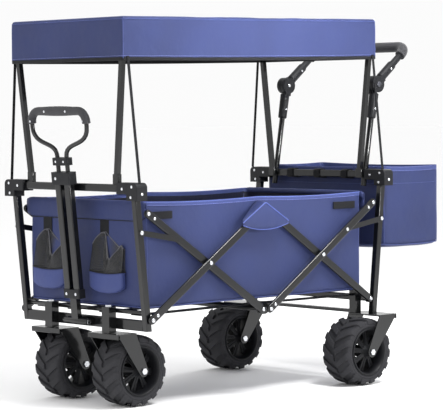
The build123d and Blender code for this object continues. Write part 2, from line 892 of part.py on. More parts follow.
hoop_inset = canopy_wall + hoop_side_gap + hoop_w / 2
front_hoop_foot = (front_y(front_crossbar_z), front_crossbar_z + crossbar_w / 2)
rear_hoop_foot = (
    rear_y(rear_crossbar_z) - crossbar_d / 2 - hoop_foot_gap - hoop_w / 2,
    rear_crossbar_z - crossbar_w / 2,
)
front_hoop = hoop_part(*front_hoop_foot, canopy_front_y + hoop_inset)
rear_hoop = hoop_part(*rear_hoop_foot, canopy_rear_y - hoop_inset)
save(front_hoop, "front_canopy_hoop")
save(rear_hoop, "rear_canopy_hoop")


def canopy_strap(foot_y, bar_z, top_y):
    """A webbing strap from a corner bracket up to the canopy's hem."""
    foot = (strap_foot_x, foot_y, bar_z + crossbar_w / 2 + bracket_rise)
    hem_z = canopy_z(top_y, canopy_depth)
    top = (canopy_half_w + soft_gap + strap_t, top_y, hem_z + strap_overlap)
    return strut(foot, top, strap_t, strap_w)


strap_front = canopy_strap(
    front_y(front_crossbar_z), front_crossbar_z, canopy_front_y + strap_inset
)
strap_rear = canopy_strap(
    rear_y(rear_crossbar_z) - strap_rear_set, rear_crossbar_z, canopy_rear_y - strap_inset
)
save(both_sides(strap_front), "front_canopy_straps")
save(both_sides(strap_rear), "rear_canopy_straps")

# ------------------------------------------------------------- basket and bag
basket_front_y = mid_y - pivot_reach - basket_front_over
basket_rear_y = mid_y + pivot_reach - basket_rear_set


def open_box(centre_y, half_w, length, base_z, rim_z, wall, floor, corner):
    """An open-topped box with rounded upright corners."""
    with BuildPart() as box:
        with BuildSketch(Plane.XY.offset(base_z)):
            with Locations((0, centre_y)):
                RectangleRounded(2 * half_w, length, corner)
        extrude(amount=rim_z - base_z)
        with BuildSketch(Plane.XY.offset(base_z + floor)):
            with Locations((0, centre_y)):
                RectangleRounded(2 * (half_w - wall), length - 2 * wall, corner - wall)
        extrude(amount=rim_z - base_z, mode=Mode.SUBTRACT)
    return box.part


save(
    open_box(
        (basket_front_y + basket_rear_y) / 2,
        basket_half_w,
        basket_rear_y - basket_front_y,
        basket_floor_z,
        basket_rim_z,
        basket_wall,
        basket_floor_t,
        basket_corner,
    ),
    "basket",
)

# Two pouches hang on the basket's front, one each side of the pull handle.
pocket_y = basket_front_y - soft_gap - pocket_d / 2
with BuildPart() as pockets:
    with BuildSketch(Plane.XY.offset(pocket_z)):
        with Locations((pocket_x, pocket_y), (-pocket_x, pocket_y)):
            RectangleRounded(pocket_w, pocket_d, 4)
    extrude(amount=pocket_h)
    with BuildSketch(Plane.XY.offset(pocket_z + pocket_wall)):
        with Locations((pocket_x, pocket_y), (-pocket_x, pocket_y)):
            RectangleRounded(pocket_w - 2 * pocket_wall, pocket_d - 2 * pocket_wall, 2)
    extrude(amount=pocket_h, mode=Mode.SUBTRACT)
save(pockets.part, "front_pockets")

bag_y = mid_y + bag_front_reach + bag_length / 2
save(
    open_box(
        bag_y, bag_half_w, bag_length, bag_rim_z - bag_depth, bag_rim_z,
        bag_wall, bag_wall, bag_corner,
    ),
    "rear_bag",
)


# -------------------------------------------------------------- pull handle
handle_root = Plane(
    origin=(0, handle_root_y, handle_hinge_z),
    x_dir=(1, 0, 0),
    z_dir=(0, -lean_dir[0], lean_dir[1]),
)
outer_end = outer_start + outer_length
cap_top = outer_end + cap_over
bridge_start = cap_top + bridge_rise
bridge_end = bridge_start + bridge_h

with BuildPart() as handle_stem:
    with BuildSketch(at_x(-barrel_half)):
        with Locations((handle_root_y, handle_hinge_z)):
            Circle(barrel_d / 2)
    extrude(amount=2 * barrel_half)
    with BuildSketch(handle_root):
        Rectangle(handle_stem_w, handle_stem_d)
    extrude(amount=outer_start - fit_gap)
    with BuildSketch(at_x(-barrel_half)):
        with Locations((handle_root_y, handle_hinge_z)):
            Circle(hinge_bolt_d / 2 + hinge_clearance)
    extrude(amount=2 * barrel_half, mode=Mode.SUBTRACT)
save(handle_stem.part, "handle_stem")

with BuildPart() as hinge_bolt:
    bolt_half = ear_x + ear_t + hinge_head_h
    with BuildSketch(at_x(-bolt_half)):
        with Locations((handle_root_y, handle_hinge_z)):
            Circle(hinge_bolt_d / 2)
    extrude(amount=2 * bolt_half)
    with BuildSketch(at_x(-bolt_half), at_x(ear_x + ear_t)):
        with Locations((handle_root_y, handle_hinge_z)):
            RegularPolygon(hinge_head_d / 2, 6)
    extrude(amount=hinge_head_h)
save(hinge_bolt.part, "handle_hinge_bolt")

twin = ((outer_x, 0), (-outer_x, 0))
with BuildPart() as outer_tubes:
    with BuildSketch(handle_root.offset(outer_start)):
        with Locations(*twin):
            RectangleRounded(outer_w, outer_d, 3)
            Rectangle(
                outer_w - 2 * outer_wall, outer_d - 2 * outer_wall, mode=Mode.SUBTRACT
            )
    extrude(amount=outer_length)
save(outer_tubes.part, "handle_outer_tubes")

with BuildPart() as bottom_clip:
    clip_base = outer_start - clip_under
    with BuildSketch(handle_root.offset(clip_base)):
        RectangleRounded(bottom_clip_w, bottom_clip_d, 4)
    extrude(amount=bottom_clip_h)
    with BuildSketch(handle_root.offset(clip_base)):
        Rectangle(handle_stem_w, handle_stem_d)
    extrude(amount=clip_under, mode=Mode.SUBTRACT)
    with BuildSketch(handle_root.offset(outer_start)):
        with Locations(*twin):
            RectangleRounded(outer_w, outer_d, 3)
    extrude(amount=bottom_clip_h, mode=Mode.SUBTRACT)
save(bottom_clip.part, "handle_bottom_clip")

with BuildPart() as top_cap:
    with BuildSketch(handle_root.offset(cap_top - top_cap_h)):
        RectangleRounded(top_cap_w, top_cap_d, 5)
    extrude(amount=top_cap_h)
    with BuildSketch(handle_root.offset(cap_top - top_cap_h)):
        with Locations(*twin):
            RectangleRounded(outer_w, outer_d, 3)
    extrude(amount=top_cap_h - cap_over, mode=Mode.SUBTRACT)
    with BuildSketch(handle_root.offset(cap_top - top_cap_h)):
        with Locations(*twin):
            Circle(inner_d / 2 + inner_clearance)
    extrude(amount=top_cap_h, mode=Mode.SUBTRACT)
save(top_cap.part, "handle_top_cap")

# The bent rod of the loop runs down through the bridge into both outer tubes.
loop_plane = Plane(
    origin=handle_root.origin, x_dir=(1, 0, 0), z_dir=handle_root.z_dir.cross(Vector(1, 0, 0))
)


def swept_ring(path_plane, points, radii, outer, inner):
    """A round tube along straight runs joined by tangent arcs."""
    with BuildPart() as tube:
        with BuildLine(path_plane) as path:
            FilletPolyline(*points, radius=radii)
        wire = path.wires()[0]
        with BuildSketch(Plane(origin=wire @ 0, z_dir=wire % 0)):
            Circle(outer / 2)
            Circle(inner / 2, mode=Mode.SUBTRACT)
        sweep(path=wire)
    return tube.part


def up(distance):
    """The second coordinate, in the loop's plane, of a distance along the handle."""
    return -distance


inner_bottom = cap_top - inner_insert
loop_points = [
    (outer_x, up(inner_bottom)),
    (outer_x, up(bridge_end + loop_neck)),
    (loop_half, up(bridge_end + loop_shoulder)),
    (loop_half, up(bridge_end + loop_height)),
]
loop_points += [(-x, v) for x, v in reversed(loop_points)]
loop_radii = [loop_neck_r] + 4 * [loop_corner] + [loop_neck_r]
save(
    swept_ring(loop_plane, loop_points, loop_radii, inner_d, inner_d - 2 * inner_wall),
    "handle_loop",
)

grip_points = [
    (loop_half, up(bridge_end + loop_height - grip_drop)),
    (loop_half, up(bridge_end + loop_height)),
]
grip_points += [(-x, v) for x, v in reversed(grip_points)]
save(swept_ring(loop_plane, grip_points, loop_corner, grip_d, inner_d), "handle_grip")

with BuildPart() as bridge:
    with BuildSketch(handle_root.offset(bridge_start)):
        RectangleRounded(bridge_w, bridge_d, 5)
        with Locations(*twin):
            Circle(inner_d / 2, mode=Mode.SUBTRACT)
    extrude(amount=bridge_h)
save(bridge.part, "handle_bridge")

# -------------------------------------------------------------- push handle
hub_centre = push_plane.from_local_coords(Vector(0, 0, push_hub_rise))
hub_y, hub_z = hub_centre.Y, hub_centre.Z
leg_dir = Vector(0, cos(radians(push_rise)), sin(radians(push_rise)))
lower_dir = Vector(0, -push_dir[0], -push_dir[1])
tube_end = push_neck_r + push_tube_seat

with BuildPart() as push_lower:
    with BuildSketch(push_plane.offset(-push_tube_below)):
        with Locations((push_x, 0), (-push_x, 0)):
            Circle(push_tube_d / 2)
            Circle(push_tube_d / 2 - push_tube_wall, mode=Mode.SUBTRACT)
    extrude(amount=push_tube_below + push_hub_rise - tube_end)
save(push_lower.part, "push_lower_tubes")


def hub_socket(direction, inner_x, outer_x):
    """Half of a tilt hub: a disc, its neck, and a sleeve round the tube's end."""
    axis_plane = Plane(
        origin=(push_x, hub_y, hub_z), x_dir=(1, 0, 0), z_dir=direction
    )
    with BuildPart() as socket:
        with BuildSketch(at_x(inner_x)):
            with Locations((hub_y, hub_z)):
                Circle(push_hub_r)
        extrude(amount=outer_x - inner_x)
        with BuildSketch(axis_plane):
            with Locations(((inner_x + outer_x) / 2 - push_x, 0)):
                Rectangle(outer_x - inner_x, push_neck_w)
        extrude(amount=tube_end)
        with BuildSketch(axis_plane.offset(push_neck_r)):
            Circle(push_sleeve_d / 2)
        extrude(amount=push_sleeve_l)
        with BuildSketch(axis_plane.offset(tube_end)):
            Circle(push_tube_d / 2)
        extrude(amount=push_sleeve_l, mode=Mode.SUBTRACT)
    return socket.part


lower_socket = hub_socket(lower_dir, push_x - push_hub_t, push_x - push_hub_gap / 2)
upper_inner = push_x + push_hub_gap / 2
upper_outer = push_x + push_hub_t
recess_x = upper_outer - button_depth - button_proud
with BuildPart() as tilt_pin:
    with BuildSketch(at_x(push_x - push_hub_gap / 2)):
        with Locations((hub_y, hub_z)):
            Circle(push_pin_d / 2)
    extrude(amount=recess_x - push_x)
save(both_sides(Compound(children=[lower_socket, tilt_pin.part])), "push_lower_hubs")

with BuildPart() as upper_socket:
    add(hub_socket(leg_dir, upper_inner, upper_outer))
    with BuildSketch(at_x(upper_inner)):
        with Locations((hub_y, hub_z)):
            Circle(push_pin_d / 2 + pin_clearance)
    extrude(amount=push_hub_t, mode=Mode.SUBTRACT)
    with BuildSketch(at_x(recess_x)):
        with Locations((hub_y, hub_z)):
            Circle(button_d / 2 + button_clearance)
    extrude(amount=push_hub_t, mode=Mode.SUBTRACT)
save(both_sides(upper_socket.part), "push_upper_hubs")

upper_plane = Plane(
    origin=(0, hub_y, hub_z), x_dir=(1, 0, 0), z_dir=Vector(1, 0, 0).cross(leg_dir)
)
upper_points = [
    (push_x, tube_end),
    (push_x, push_leg),
    (-push_x, push_leg),
    (-push_x, tube_end),
]
bore = push_tube_d - 2 * push_tube_wall
save(swept_ring(upper_plane, upper_points, push_corner, push_tube_d, bore), "push_upper_tube")
foam_points = [
    (push_x, push_leg - push_grip_leg),
    (push_x, push_leg),
    (-push_x, push_leg),
    (-push_x, push_leg - push_grip_leg),
]
save(
    swept_ring(upper_plane, foam_points, push_corner, push_grip_d, push_tube_d), "push_grip"
)

for side, x_sign in (("left", 1), ("right", -1)):
    inner_x = upper_outer + button_proud - button_depth
    with BuildPart() as button:
        with BuildSketch(at_x(inner_x)):
            with Locations((hub_y, hub_z)):
                Circle(button_d / 2)
        extrude(amount=button_depth)
        fillet(button.faces().sort_by(Axis.X)[-1].edges(), 1)
    made = button.part if x_sign > 0 else mirror(button.part, about=Plane.YZ)
    save(made, f"tilt_button_{side}")
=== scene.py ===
"""Cloth, rubber, trim and finishes of a folding camp wagon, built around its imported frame.

The file is laid out as an add-on and run as a script. Lengths are in metres unless a name ends in
_mm, +Z is up, -Y is the pull handle's end and +X is the wagon's left side.
"""

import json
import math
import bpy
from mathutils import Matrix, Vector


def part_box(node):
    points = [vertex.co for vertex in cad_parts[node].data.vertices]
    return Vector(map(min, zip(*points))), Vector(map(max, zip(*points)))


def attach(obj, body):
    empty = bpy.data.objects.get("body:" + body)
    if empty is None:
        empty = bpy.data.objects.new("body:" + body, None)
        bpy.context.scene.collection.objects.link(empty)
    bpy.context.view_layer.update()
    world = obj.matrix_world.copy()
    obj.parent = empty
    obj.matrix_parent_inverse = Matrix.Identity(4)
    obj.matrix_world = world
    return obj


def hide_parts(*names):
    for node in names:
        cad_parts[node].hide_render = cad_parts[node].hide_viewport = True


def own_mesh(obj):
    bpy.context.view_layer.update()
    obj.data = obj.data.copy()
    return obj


bl_info = {
    "name": "Folding camp wagon",
    "version": (1, 0, 0),
    "blender": (4, 5, 0),
    "location": "3D View > Sidebar > Wagon",
    "description": "Adds the soft goods, tyres, trim and finishes of a folding camp wagon",
    "category": "Add Mesh",
}

import bpy
from mathutils import Matrix, Vector, noise

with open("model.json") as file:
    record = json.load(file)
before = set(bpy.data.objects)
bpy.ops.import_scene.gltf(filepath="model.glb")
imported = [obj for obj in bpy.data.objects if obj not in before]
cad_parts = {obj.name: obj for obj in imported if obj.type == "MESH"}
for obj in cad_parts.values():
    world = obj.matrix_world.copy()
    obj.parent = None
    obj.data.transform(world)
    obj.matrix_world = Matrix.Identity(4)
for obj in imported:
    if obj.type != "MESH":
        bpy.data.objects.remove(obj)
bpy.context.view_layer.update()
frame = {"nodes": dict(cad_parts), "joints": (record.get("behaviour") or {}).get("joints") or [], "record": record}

MM = 0.001
LEFT = Vector((1, 0, 0))
BACK = Vector((0, 1, 0))
UP = Vector((0, 0, 1))
SIDES = (("left", 1), ("right", -1))
BAR_SLOPE = math.radians(33.8)
HANDLE_LEAN = math.radians(5.9)
PUSH_ARM_RISE = math.radians(38)
PUSH_LEG_LEAN = math.radians(9.9)

pivots = {joint["name"]: Vector(joint["pos_m"]) for joint in frame["joints"] if "pos_m" in joint}
middle_y = (pivots["fold"].y + pivots["bars_a_hub"].y) / 2


def linear(code):
    """An sRGB hex colour as linear red, green, blue and alpha."""
    parts = [int(code[i : i + 2], 16) / 255 for i in (1, 3, 5)]
    return (*(c / 12.92 if c <= 0.04045 else ((c + 0.055) / 1.055) ** 2.4 for c in parts), 1.0)


# ------------------------------------------------------------------ settings
def length_setting(name, description, default):
    """A size in metres that shows in the scene's length unit."""
    return bpy.props.FloatProperty(
        name=name, description=description, default=default, unit="LENGTH", min=0.0, precision=4
    )


def colour_setting(name, description, code):
    """A colour that starts from an sRGB hex value."""
    return bpy.props.FloatVectorProperty(
        name=name, description=description, default=linear(code), subtype="COLOR", size=4, min=0, max=1
    )


class WagonCloth(bpy.types.PropertyGroup):
    """Sizes and colours of the sewn parts."""

    canvas: colour_setting("Canvas", "Colour of the coated canvas", "#2A335C")
    lining: colour_setting("Lining", "Colour of the coated inside of the canvas", "#0B0F26")
    webbing: colour_setting("Webbing", "Colour of straps, tape and net", "#0D0E12")
    thickness: length_setting("Canvas thickness", "Thickness of the coated canvas", 1.2 * MM)
    step: length_setting("Mesh step", "Distance between the points of a soft shell", 13 * MM)
    crease: length_setting("Crease height", "How far the cloth's broad creases stand out", 2.2 * MM)
    piping: length_setting("Piping", "Diameter of the piped seams", 3.0 * MM)


class WagonTyres(bpy.types.PropertyGroup):
    """Sizes and colour of the moulded tyres."""

    rubber: colour_setting("Rubber", "Colour of the tyres", "#121318")
    chevrons: bpy.props.IntProperty(
        name="Chevrons", description="Lugs on each half of a tyre", default=15, min=6, max=30
    )
    lug_height: length_setting("Lug height", "Height of the lugs above the carcass", 7 * MM)
    lug_width: length_setting("Lug width", "Width of a lug along the tyre's edge", 21 * MM)


class WagonTrim(bpy.types.PropertyGroup):
    """Sizes and colours of the metal and moulded trim."""

    powder: colour_setting("Powder coat", "Colour of the coated steel", "#0B0C0E")
    nylon: colour_setting("Nylon", "Colour of the moulded parts", "#101115")
    zinc: colour_setting("Zinc", "Colour of the plated fasteners", "#D5D7DB")
    tube_edge: length_setting("Tube edge", "Rounding of the steel tubes' edges", 1.0 * MM)
    bar_edge: length_setting("Bar edge", "Rounding of the flat-oval bars' edges", 3.8 * MM)
    rivet_radius: length_setting("Rivet radius", "Radius of a rivet's domed head", 4.6 * MM)


class WagonStage(bpy.types.PropertyGroup):
    """The floor, the lights and the camera."""

    floor: colour_setting("Floor", "Colour of the floor", "#FFFFFF")
    lens: bpy.props.FloatProperty(
        name="Lens", description="Focal length in millimetres", default=172.9, min=10, unit="CAMERA"
    )
    distance: length_setting("Distance", "From the camera to the wagon's middle", 6.01)


# ------------------------------------------------------------------ materials
def add_node(tree, kind, settings=None, links=None):
    """Add one node, set its properties and inputs, and link its inputs."""
    node = tree.nodes.new(kind)
    for key, value in (settings or {}).items():
        if isinstance(key, int) or key in node.inputs:
            node.inputs[key].default_value = value
        else:
            setattr(node, key, value)
    for key, source in (links or {}).items():
        tree.links.new(source, node.inputs[key])
    return node


def new_finish(name, colour, roughness, sockets=None):
    """A material with one shader, and where its points lie in the wagon's frame."""
    material = bpy.data.materials.new(name)
    material.use_nodes = True
    material.diffuse_color = colour
    tree = material.node_tree
    tree.nodes.clear()
    values = {"Base Color": colour, "Roughness": roughness, **(sockets or {})}
    shader = add_node(tree, "ShaderNodeBsdfPrincipled", values)
    add_node(tree, "ShaderNodeOutputMaterial", None, {"Surface": shader.outputs[0]})
    place = add_node(tree, "ShaderNodeTexCoord").outputs["Object"]
    return material, tree, shader, place


def grain(tree, place, size_mm, detail=3.0):
    """Cloudy noise whose blotches are about size_mm across."""
    values = {"Scale": 1000 / size_mm, "Detail": detail}
    return add_node(tree, "ShaderNodeTexNoise", values, {"Vector": place}).outputs[0]


def ribs(tree, place, pitch_mm, directions):
    """Parallel ribs pitch_mm apart, summed over the directions that are given."""
    total = None
    for direction in directions:
        # A band texture of scale 1 repeats every pi / 10 units.
        values = {"bands_direction": direction, "Scale": 1000 * math.pi / 10 / pitch_mm}
        wave = add_node(tree, "ShaderNodeTexWave", values, {"Vector": place}).outputs[1]
        if total is None:
            total = wave
        else:
            total = add_node(tree, "ShaderNodeMath", {"operation": "ADD"}, {0: total, 1: wave}).outputs[0]
    return total


def vary_colour(tree, shader, amount, dark, light):
    """Blend the shader's colour between two as amount goes from 0 to 1."""
    values = {"data_type": "RGBA", 6: dark, 7: light}
    mix = add_node(tree, "ShaderNodeMix", values, {0: amount})
    tree.links.new(mix.outputs[2], shader.inputs["Base Color"])


def vary_roughness(tree, shader, amount, low, high):
    """Roughness that follows a pattern between two values."""
    values = {"From Min": 0.3, "From Max": 0.7, "To Min": low, "To Max": high}
    spread = add_node(tree, "ShaderNodeMapRange", values, {"Value": amount})
    tree.links.new(spread.outputs[0], shader.inputs["Roughness"])


def raise_surface(tree, shader, patterns):
    """Bump the surface by patterns, each with its height in millimetres."""
    normal = None
    for height, height_mm in patterns:
        links = {"Height": height}
        if normal is not None:
            links["Normal"] = normal
        normal = add_node(tree, "ShaderNodeBump", {"Distance": height_mm * MM}, links).outputs[0]
    tree.links.new(normal, shader.inputs["Normal"])


def shade(colour, factor):
    """A colour made darker or lighter, as linear values."""
    return (*(min(1.0, c * factor) for c in colour[:3]), 1.0)


def powder_coated_steel(name):
    """Polyester powder cured on steel tube: satin black with a faint orange peel and soft glints."""
    colour = bpy.context.scene.wagon_trim.powder
    sockets = {"Coat Weight": 0.75, "Coat Roughness": 0.09, "Specular IOR Level": 0.12}
    material, tree, shader, place = new_finish(name, colour, 0.38, sockets)
    vary_roughness(tree, shader, grain(tree, place, 40), 0.32, 0.46)
    vary_colour(tree, shader, grain(tree, place, 90), shade(colour, 0.8), shade(colour, 1.25))
    # Orange peel is about 1 mm across and is drawn at 2.5 mm, so that it shows.
    raise_surface(tree, shader, [(grain(tree, place, 2.5, 1.0), 0.05)])
    return material


def zinc_plated_steel(name):
    """Bright zinc on cold-headed rivets and bolts: clean silver with small dull patches."""
    colour = bpy.context.scene.wagon_trim.zinc
    material, tree, shader, place = new_finish(name, colour, 0.26, {"Metallic": 1.0})
    vary_roughness(tree, shader, grain(tree, place, 3), 0.18, 0.36)
    return material


def moulded_nylon(name):
    """Glass-filled nylon from a spark-eroded mould: near black, dull, with a fine even texture."""
    colour = bpy.context.scene.wagon_trim.nylon
    material, tree, shader, place = new_finish(name, colour, 0.5, {"Specular IOR Level": 0.3})
    vary_roughness(tree, shader, grain(tree, place, 30), 0.44, 0.58)
    vary_colour(tree, shader, grain(tree, place, 70), shade(colour, 0.85), shade(colour, 1.3))
    # The mould's texture is about 0.3 mm and is drawn at 1.4 mm, so that it shows.
    raise_surface(tree, shader, [(grain(tree, place, 1.4, 2.0), 0.06)])
    return material


def moulded_abs(name):
    """Polished ABS push buttons: dark grey, smooth, with sharp highlights."""
    material, tree, shader, place = new_finish(name, linear("#3A3B42"), 0.28, {"IOR": 1.54})
    vary_roughness(tree, shader, grain(tree, place, 12), 0.24, 0.34)
    raise_surface(tree, shader, [(grain(tree, place, 5, 1.0), 0.02)])
    return material


def skinned_nitrile_foam(name):
    """Skinned nitrile foam grips: charcoal, matt and finely pebbled."""
    colour = linear("#2B2B2F")
    sockets = {"Sheen Weight": 0.15, "Sheen Roughness": 0.5}
    material, tree, shader, place = new_finish(name, colour, 0.78, sockets)
    vary_colour(tree, shader, grain(tree, place, 25), shade(colour, 0.75), shade(colour, 1.3))
    cells = add_node(tree, "ShaderNodeTexVoronoi", {"Scale": 1000 / 2.2}, {"Vector": place}).outputs[0]
    raise_surface(tree, shader, [(cells, 0.18)])
    return material


def tyre_rubber(name):
    """Moulded black tyre compound: dull, slightly blue where it catches light, with dusty patches."""
    colour = bpy.context.scene.wagon_tyres.rubber
    sockets = {"Sheen Weight": 0.25, "Sheen Roughness": 0.4, "Sheen Tint": linear("#8E93C4")}
    sockets.update({"Coat Weight": 0.3, "Coat Roughness": 0.28})
    material, tree, shader, place = new_finish(name, colour, 0.45, sockets)
    vary_roughness(tree, shader, grain(tree, place, 22), 0.34, 0.56)
    vary_colour(tree, shader, grain(tree, place, 35), shade(colour, 0.75), linear("#2A2B32"))
    raise_surface(tree, shader, [(grain(tree, place, 9), 0.25), (grain(tree, place, 1.6, 2.0), 0.06)])
    return material


def woven_canvas(name, colour, roughness, glaze):
    """A coated plain weave: threads both ways, cloudy dye and broad soft creases."""
    sockets = {"Sheen Weight": glaze, "Sheen Roughness": 0.45, "Sheen Tint": linear("#A9B0E6")}
    sockets["Specular IOR Level"] = 0.3
    material, tree, shader, place = new_finish(name, colour, roughness, sockets)
    vary_colour(tree, shader, grain(tree, place, 120, 4.0), shade(colour, 0.78), shade(colour, 1.2))
    vary_roughness(tree, shader, grain(tree, place, 60), roughness - 0.06, roughness + 0.06)
    # Threads lie 0.5 mm apart and are drawn 2 mm apart, so that they show.
    threads = ribs(tree, place, 2.0, "XYZ")
    raise_surface(tree, shader, [(grain(tree, place, 70, 3.0), 4.0), (threads, 0.05)])
    return material


def polyester_canvas(name):
    """600-denier polyester canvas, dyed blue and coated behind: a fine weave with a slight sheen."""
    return woven_canvas(name, bpy.context.scene.wagon_cloth.canvas, 0.6, 0.1)


def coated_lining(name):
    """The canvas's coated back: dark navy and smoother than the face."""
    return woven_canvas(name, bpy.context.scene.wagon_cloth.lining, 0.5, 0.05)


def canvas_piping(name):
    """Canvas wrapped round a cord in a seam: the canvas colour painted 3.2 times lighter, a painted highlight
    along the piped edge.
    """
    # Painted highlight: the canvas colour is made 3.2 times lighter.
    return woven_canvas(name, shade(bpy.context.scene.wagon_cloth.canvas, 3.2), 0.5, 0.3)


def canvas_seam(name):
    """Canvas turned over and stitched into a seam: painted a little lighter than the flat cloth, as a painted
    highlight.
    """
    # Painted highlight: the canvas colour is made 1.6 times lighter.
    return woven_canvas(name, shade(bpy.context.scene.wagon_cloth.canvas, 1.6), 0.55, 0.2)


def ribbed_tape(name, pitch_mm, height_mm, roughness):
    """A narrow black weave with ribs pitch_mm apart."""
    colour = bpy.context.scene.wagon_cloth.webbing
    sockets = {"Sheen Weight": 0.06, "Sheen Roughness": 0.5, "Specular IOR Level": 0.2}
    material, tree, shader, place = new_finish(name, colour, roughness, sockets)
    vary_colour(tree, shader, grain(tree, place, 18), shade(colour, 0.7), shade(colour, 1.5))
    raise_surface(tree, shader, [(ribs(tree, place, pitch_mm, "XYZ"), height_mm)])
    return material


def polyester_webbing(name):
    """Black polyester webbing: a heavy herringbone rib, dull with a soft sheen."""
    return ribbed_tape(name, 2.4, 0.22, 0.7)


def grosgrain_binding(name):
    """Black grosgrain tape folded over a raw edge: fine cross ribs."""
    return ribbed_tape(name, 1.6, 0.12, 0.62)


def elastic_tape(name):
    """Grey folded elastic on the edges of the nets: soft, matt and a little lighter than the yarn."""
    material, tree, shader, place = new_finish(name, linear("#3C3C44"), 0.7, {"Sheen Weight": 0.3})
    vary_colour(tree, shader, grain(tree, place, 10), linear("#2C2C33"), linear("#56565F"))
    raise_surface(tree, shader, [(ribs(tree, place, 1.6, "XZ"), 0.1)])
    return material


def bonded_thread(name):
    """Bonded polyester sewing thread: pale blue and slightly glossy."""
    colour = linear("#6B74B4")
    material, tree, shader, place = new_finish(name, colour, 0.45, {"Sheen Weight": 0.2})
    vary_colour(tree, shader, grain(tree, place, 15), shade(colour, 0.8), shade(colour, 1.2))
    raise_surface(tree, shader, [(ribs(tree, place, 1.5, "XYZ"), 0.05)])
    return material


def knitted_net(name):
    """Black knitted polyester net: matt yarn around small open holes."""
    colour = shade(bpy.context.scene.wagon_cloth.webbing, 1.4)
    material, tree, shader, place = new_finish(name, colour, 0.74, {"Sheen Weight": 0.3})
    vary_colour(tree, shader, grain(tree, place, 14), shade(colour, 0.6), shade(colour, 1.6))
    raise_surface(tree, shader, [(grain(tree, place, 1.5, 1.0), 0.1)])
    return material


def finish(maker):
    """The material that a maker builds, made once."""
    return bpy.data.materials.get(maker.__name__) or maker(maker.__name__)


# ------------------------------------------------------------------ mesh tools
def lerp(a, b, share):
    """The value, or point, part of the way from a to b."""
    return a + (b - a) * share


def spaced(low, high, step):
    """Evenly spaced values from low to high, no further apart than step."""
    count = max(1, math.ceil((high - low) / step))
    return [low + (high - low) * i / count for i in range(count + 1)]


def make_piece(name, points, faces, maker, body, slot, smooth_angle=40):
    """A mesh piece with one finish that rides on a CAD body."""
    mesh = bpy.data.meshes.new(name)
    mesh.from_pydata([tuple(p) for p in points], [], faces)
    mesh.validate()
    piece = bpy.data.objects.new(name, mesh)
    bpy.context.scene.collection.objects.link(piece)
    mesh.materials.append(finish(maker))
    mesh.shade_smooth()
    if smooth_angle < 180:
        mesh.set_sharp_from_angle(angle=math.radians(smooth_angle))
    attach(piece, body)
    return piece


def modify(piece, kind, **settings):
    """Add a modifier with its settings."""
    modifier = piece.modifiers.new(kind.title(), kind)
    for key, value in settings.items():
        setattr(modifier, key, value)
    return modifier


def settle(piece):
    """Make a piece's modifiers part of its mesh."""
    bpy.context.view_layer.update()
    evaluated = piece.evaluated_get(bpy.context.evaluated_depsgraph_get())
    settled = bpy.data.meshes.new_from_object(evaluated)
    piece.modifiers.clear()
    old = piece.data
    piece.data = settled
    bpy.data.meshes.remove(old)
    return piece


def thicken(piece, thickness, lining=None, offset=-1.0):
    """Give a sheet its thickness, with another finish on its inner face."""
    inner = 0
    if lining is not None:
        piece.data.materials.append(finish(lining))
        inner = 1
    modify(piece, "SOLIDIFY", thickness=thickness, offset=offset, material_offset=inner)
    return settle(piece)


def sweep(path, section, sides, closed=False):
    """Points and faces of a section carried along a path; sides holds its first axis at each point."""
    points, faces = [], []
    count, around = len(path), len(section)
    for i, centre in enumerate(path):
        ahead = path[(i + 1) % count] if closed or i < count - 1 else centre
        behind = path[i - 1] if closed or i else centre
        run = (ahead - behind).normalized()
        side = (sides[i] - run * sides[i].dot(run)).normalized()
        rise = run.cross(side)
        points += [centre + side * u + rise * v for u, v in section]
    for i in range(count if closed else count - 1):
        for k in range(around):
            near, far = i * around, (i + 1) % count * around
            after = (k + 1) % around
            faces.append((near + k, near + after, far + after, far + k))
    if not closed:
        faces.append(tuple(reversed(range(around))))
        faces.append(tuple(range((count - 1) * around, count * around)))
    return points, faces


def flat_section(width, thickness):
    """A strap's section: a rectangle with its corners cut."""
    u, v = width / 2, thickness / 2
    cut = min(u, v) * 0.6
    quarter = [(u, -v + cut), (u, v - cut), (u - cut, v), (-u + cut, v)]
    return quarter + [(-a, -b) for a, b in quarter]


def round_section(radius, count=10):
    """A round cord's section."""
    turns = [2 * math.pi * i / count for i in range(count)]
    return [(radius * math.cos(t), radius * math.sin(t)) for t in turns]


def joined(parts):
    """The points and faces of several parts as one."""
    points, faces = [], []
    for part_points, part_faces in parts:
        base = len(points)
        points += part_points
        faces += [tuple(base + i for i in face) for face in part_faces]
    return points, faces


def mirrored(part):
    """A part's mirror image on the wagon's other side."""
    points, faces = part
    return [Vector((-p.x, p.y, p.z)) for p in points], [tuple(reversed(f)) for f in faces]


def turned(profile, centre, axis, count=32, closed=False):
    """Revolve a profile of (along, radius) pairs round an axis through centre."""
    across = axis.orthogonal().normalized()
    other = axis.cross(across)
    points, faces, rings = [], [], []
    for along, radius in profile:
        if radius < 1e-7:
            rings.append([len(points)] * count)
            points.append(centre + axis * along)
            continue
        rings.append(list(range(len(points), len(points) + count)))
        for i in range(count):
            turn = 2 * math.pi * i / count
            points.append(centre + axis * along + (across * math.cos(turn) + other * math.sin(turn)) * radius)
    pairs = list(zip(rings, rings[1:])) + ([(rings[-1], rings[0])] if closed else [])
    for near, far in pairs:
        for i in range(count):
            after = (i + 1) % count
            face = dict.fromkeys((near[i], near[after], far[after], far[i]))
            if len(face) > 2:
                faces.append(tuple(face))
    if not closed:
        if len(set(rings[0])) > 1:
            faces.append(tuple(reversed(rings[0])))
        if len(set(rings[-1])) > 1:
            faces.append(tuple(rings[-1]))
    return points, faces


def dome(centre, axis, radius, height):
    """A rivet's domed head with a thin rolled edge."""
    profile = [(0.0, radius * 0.96), (height * 0.2, radius), (height * 0.55, radius * 0.86)]
    profile += [(height * 0.85, radius * 0.52), (height, 0.0)]
    return turned(profile, centre, axis, 18)


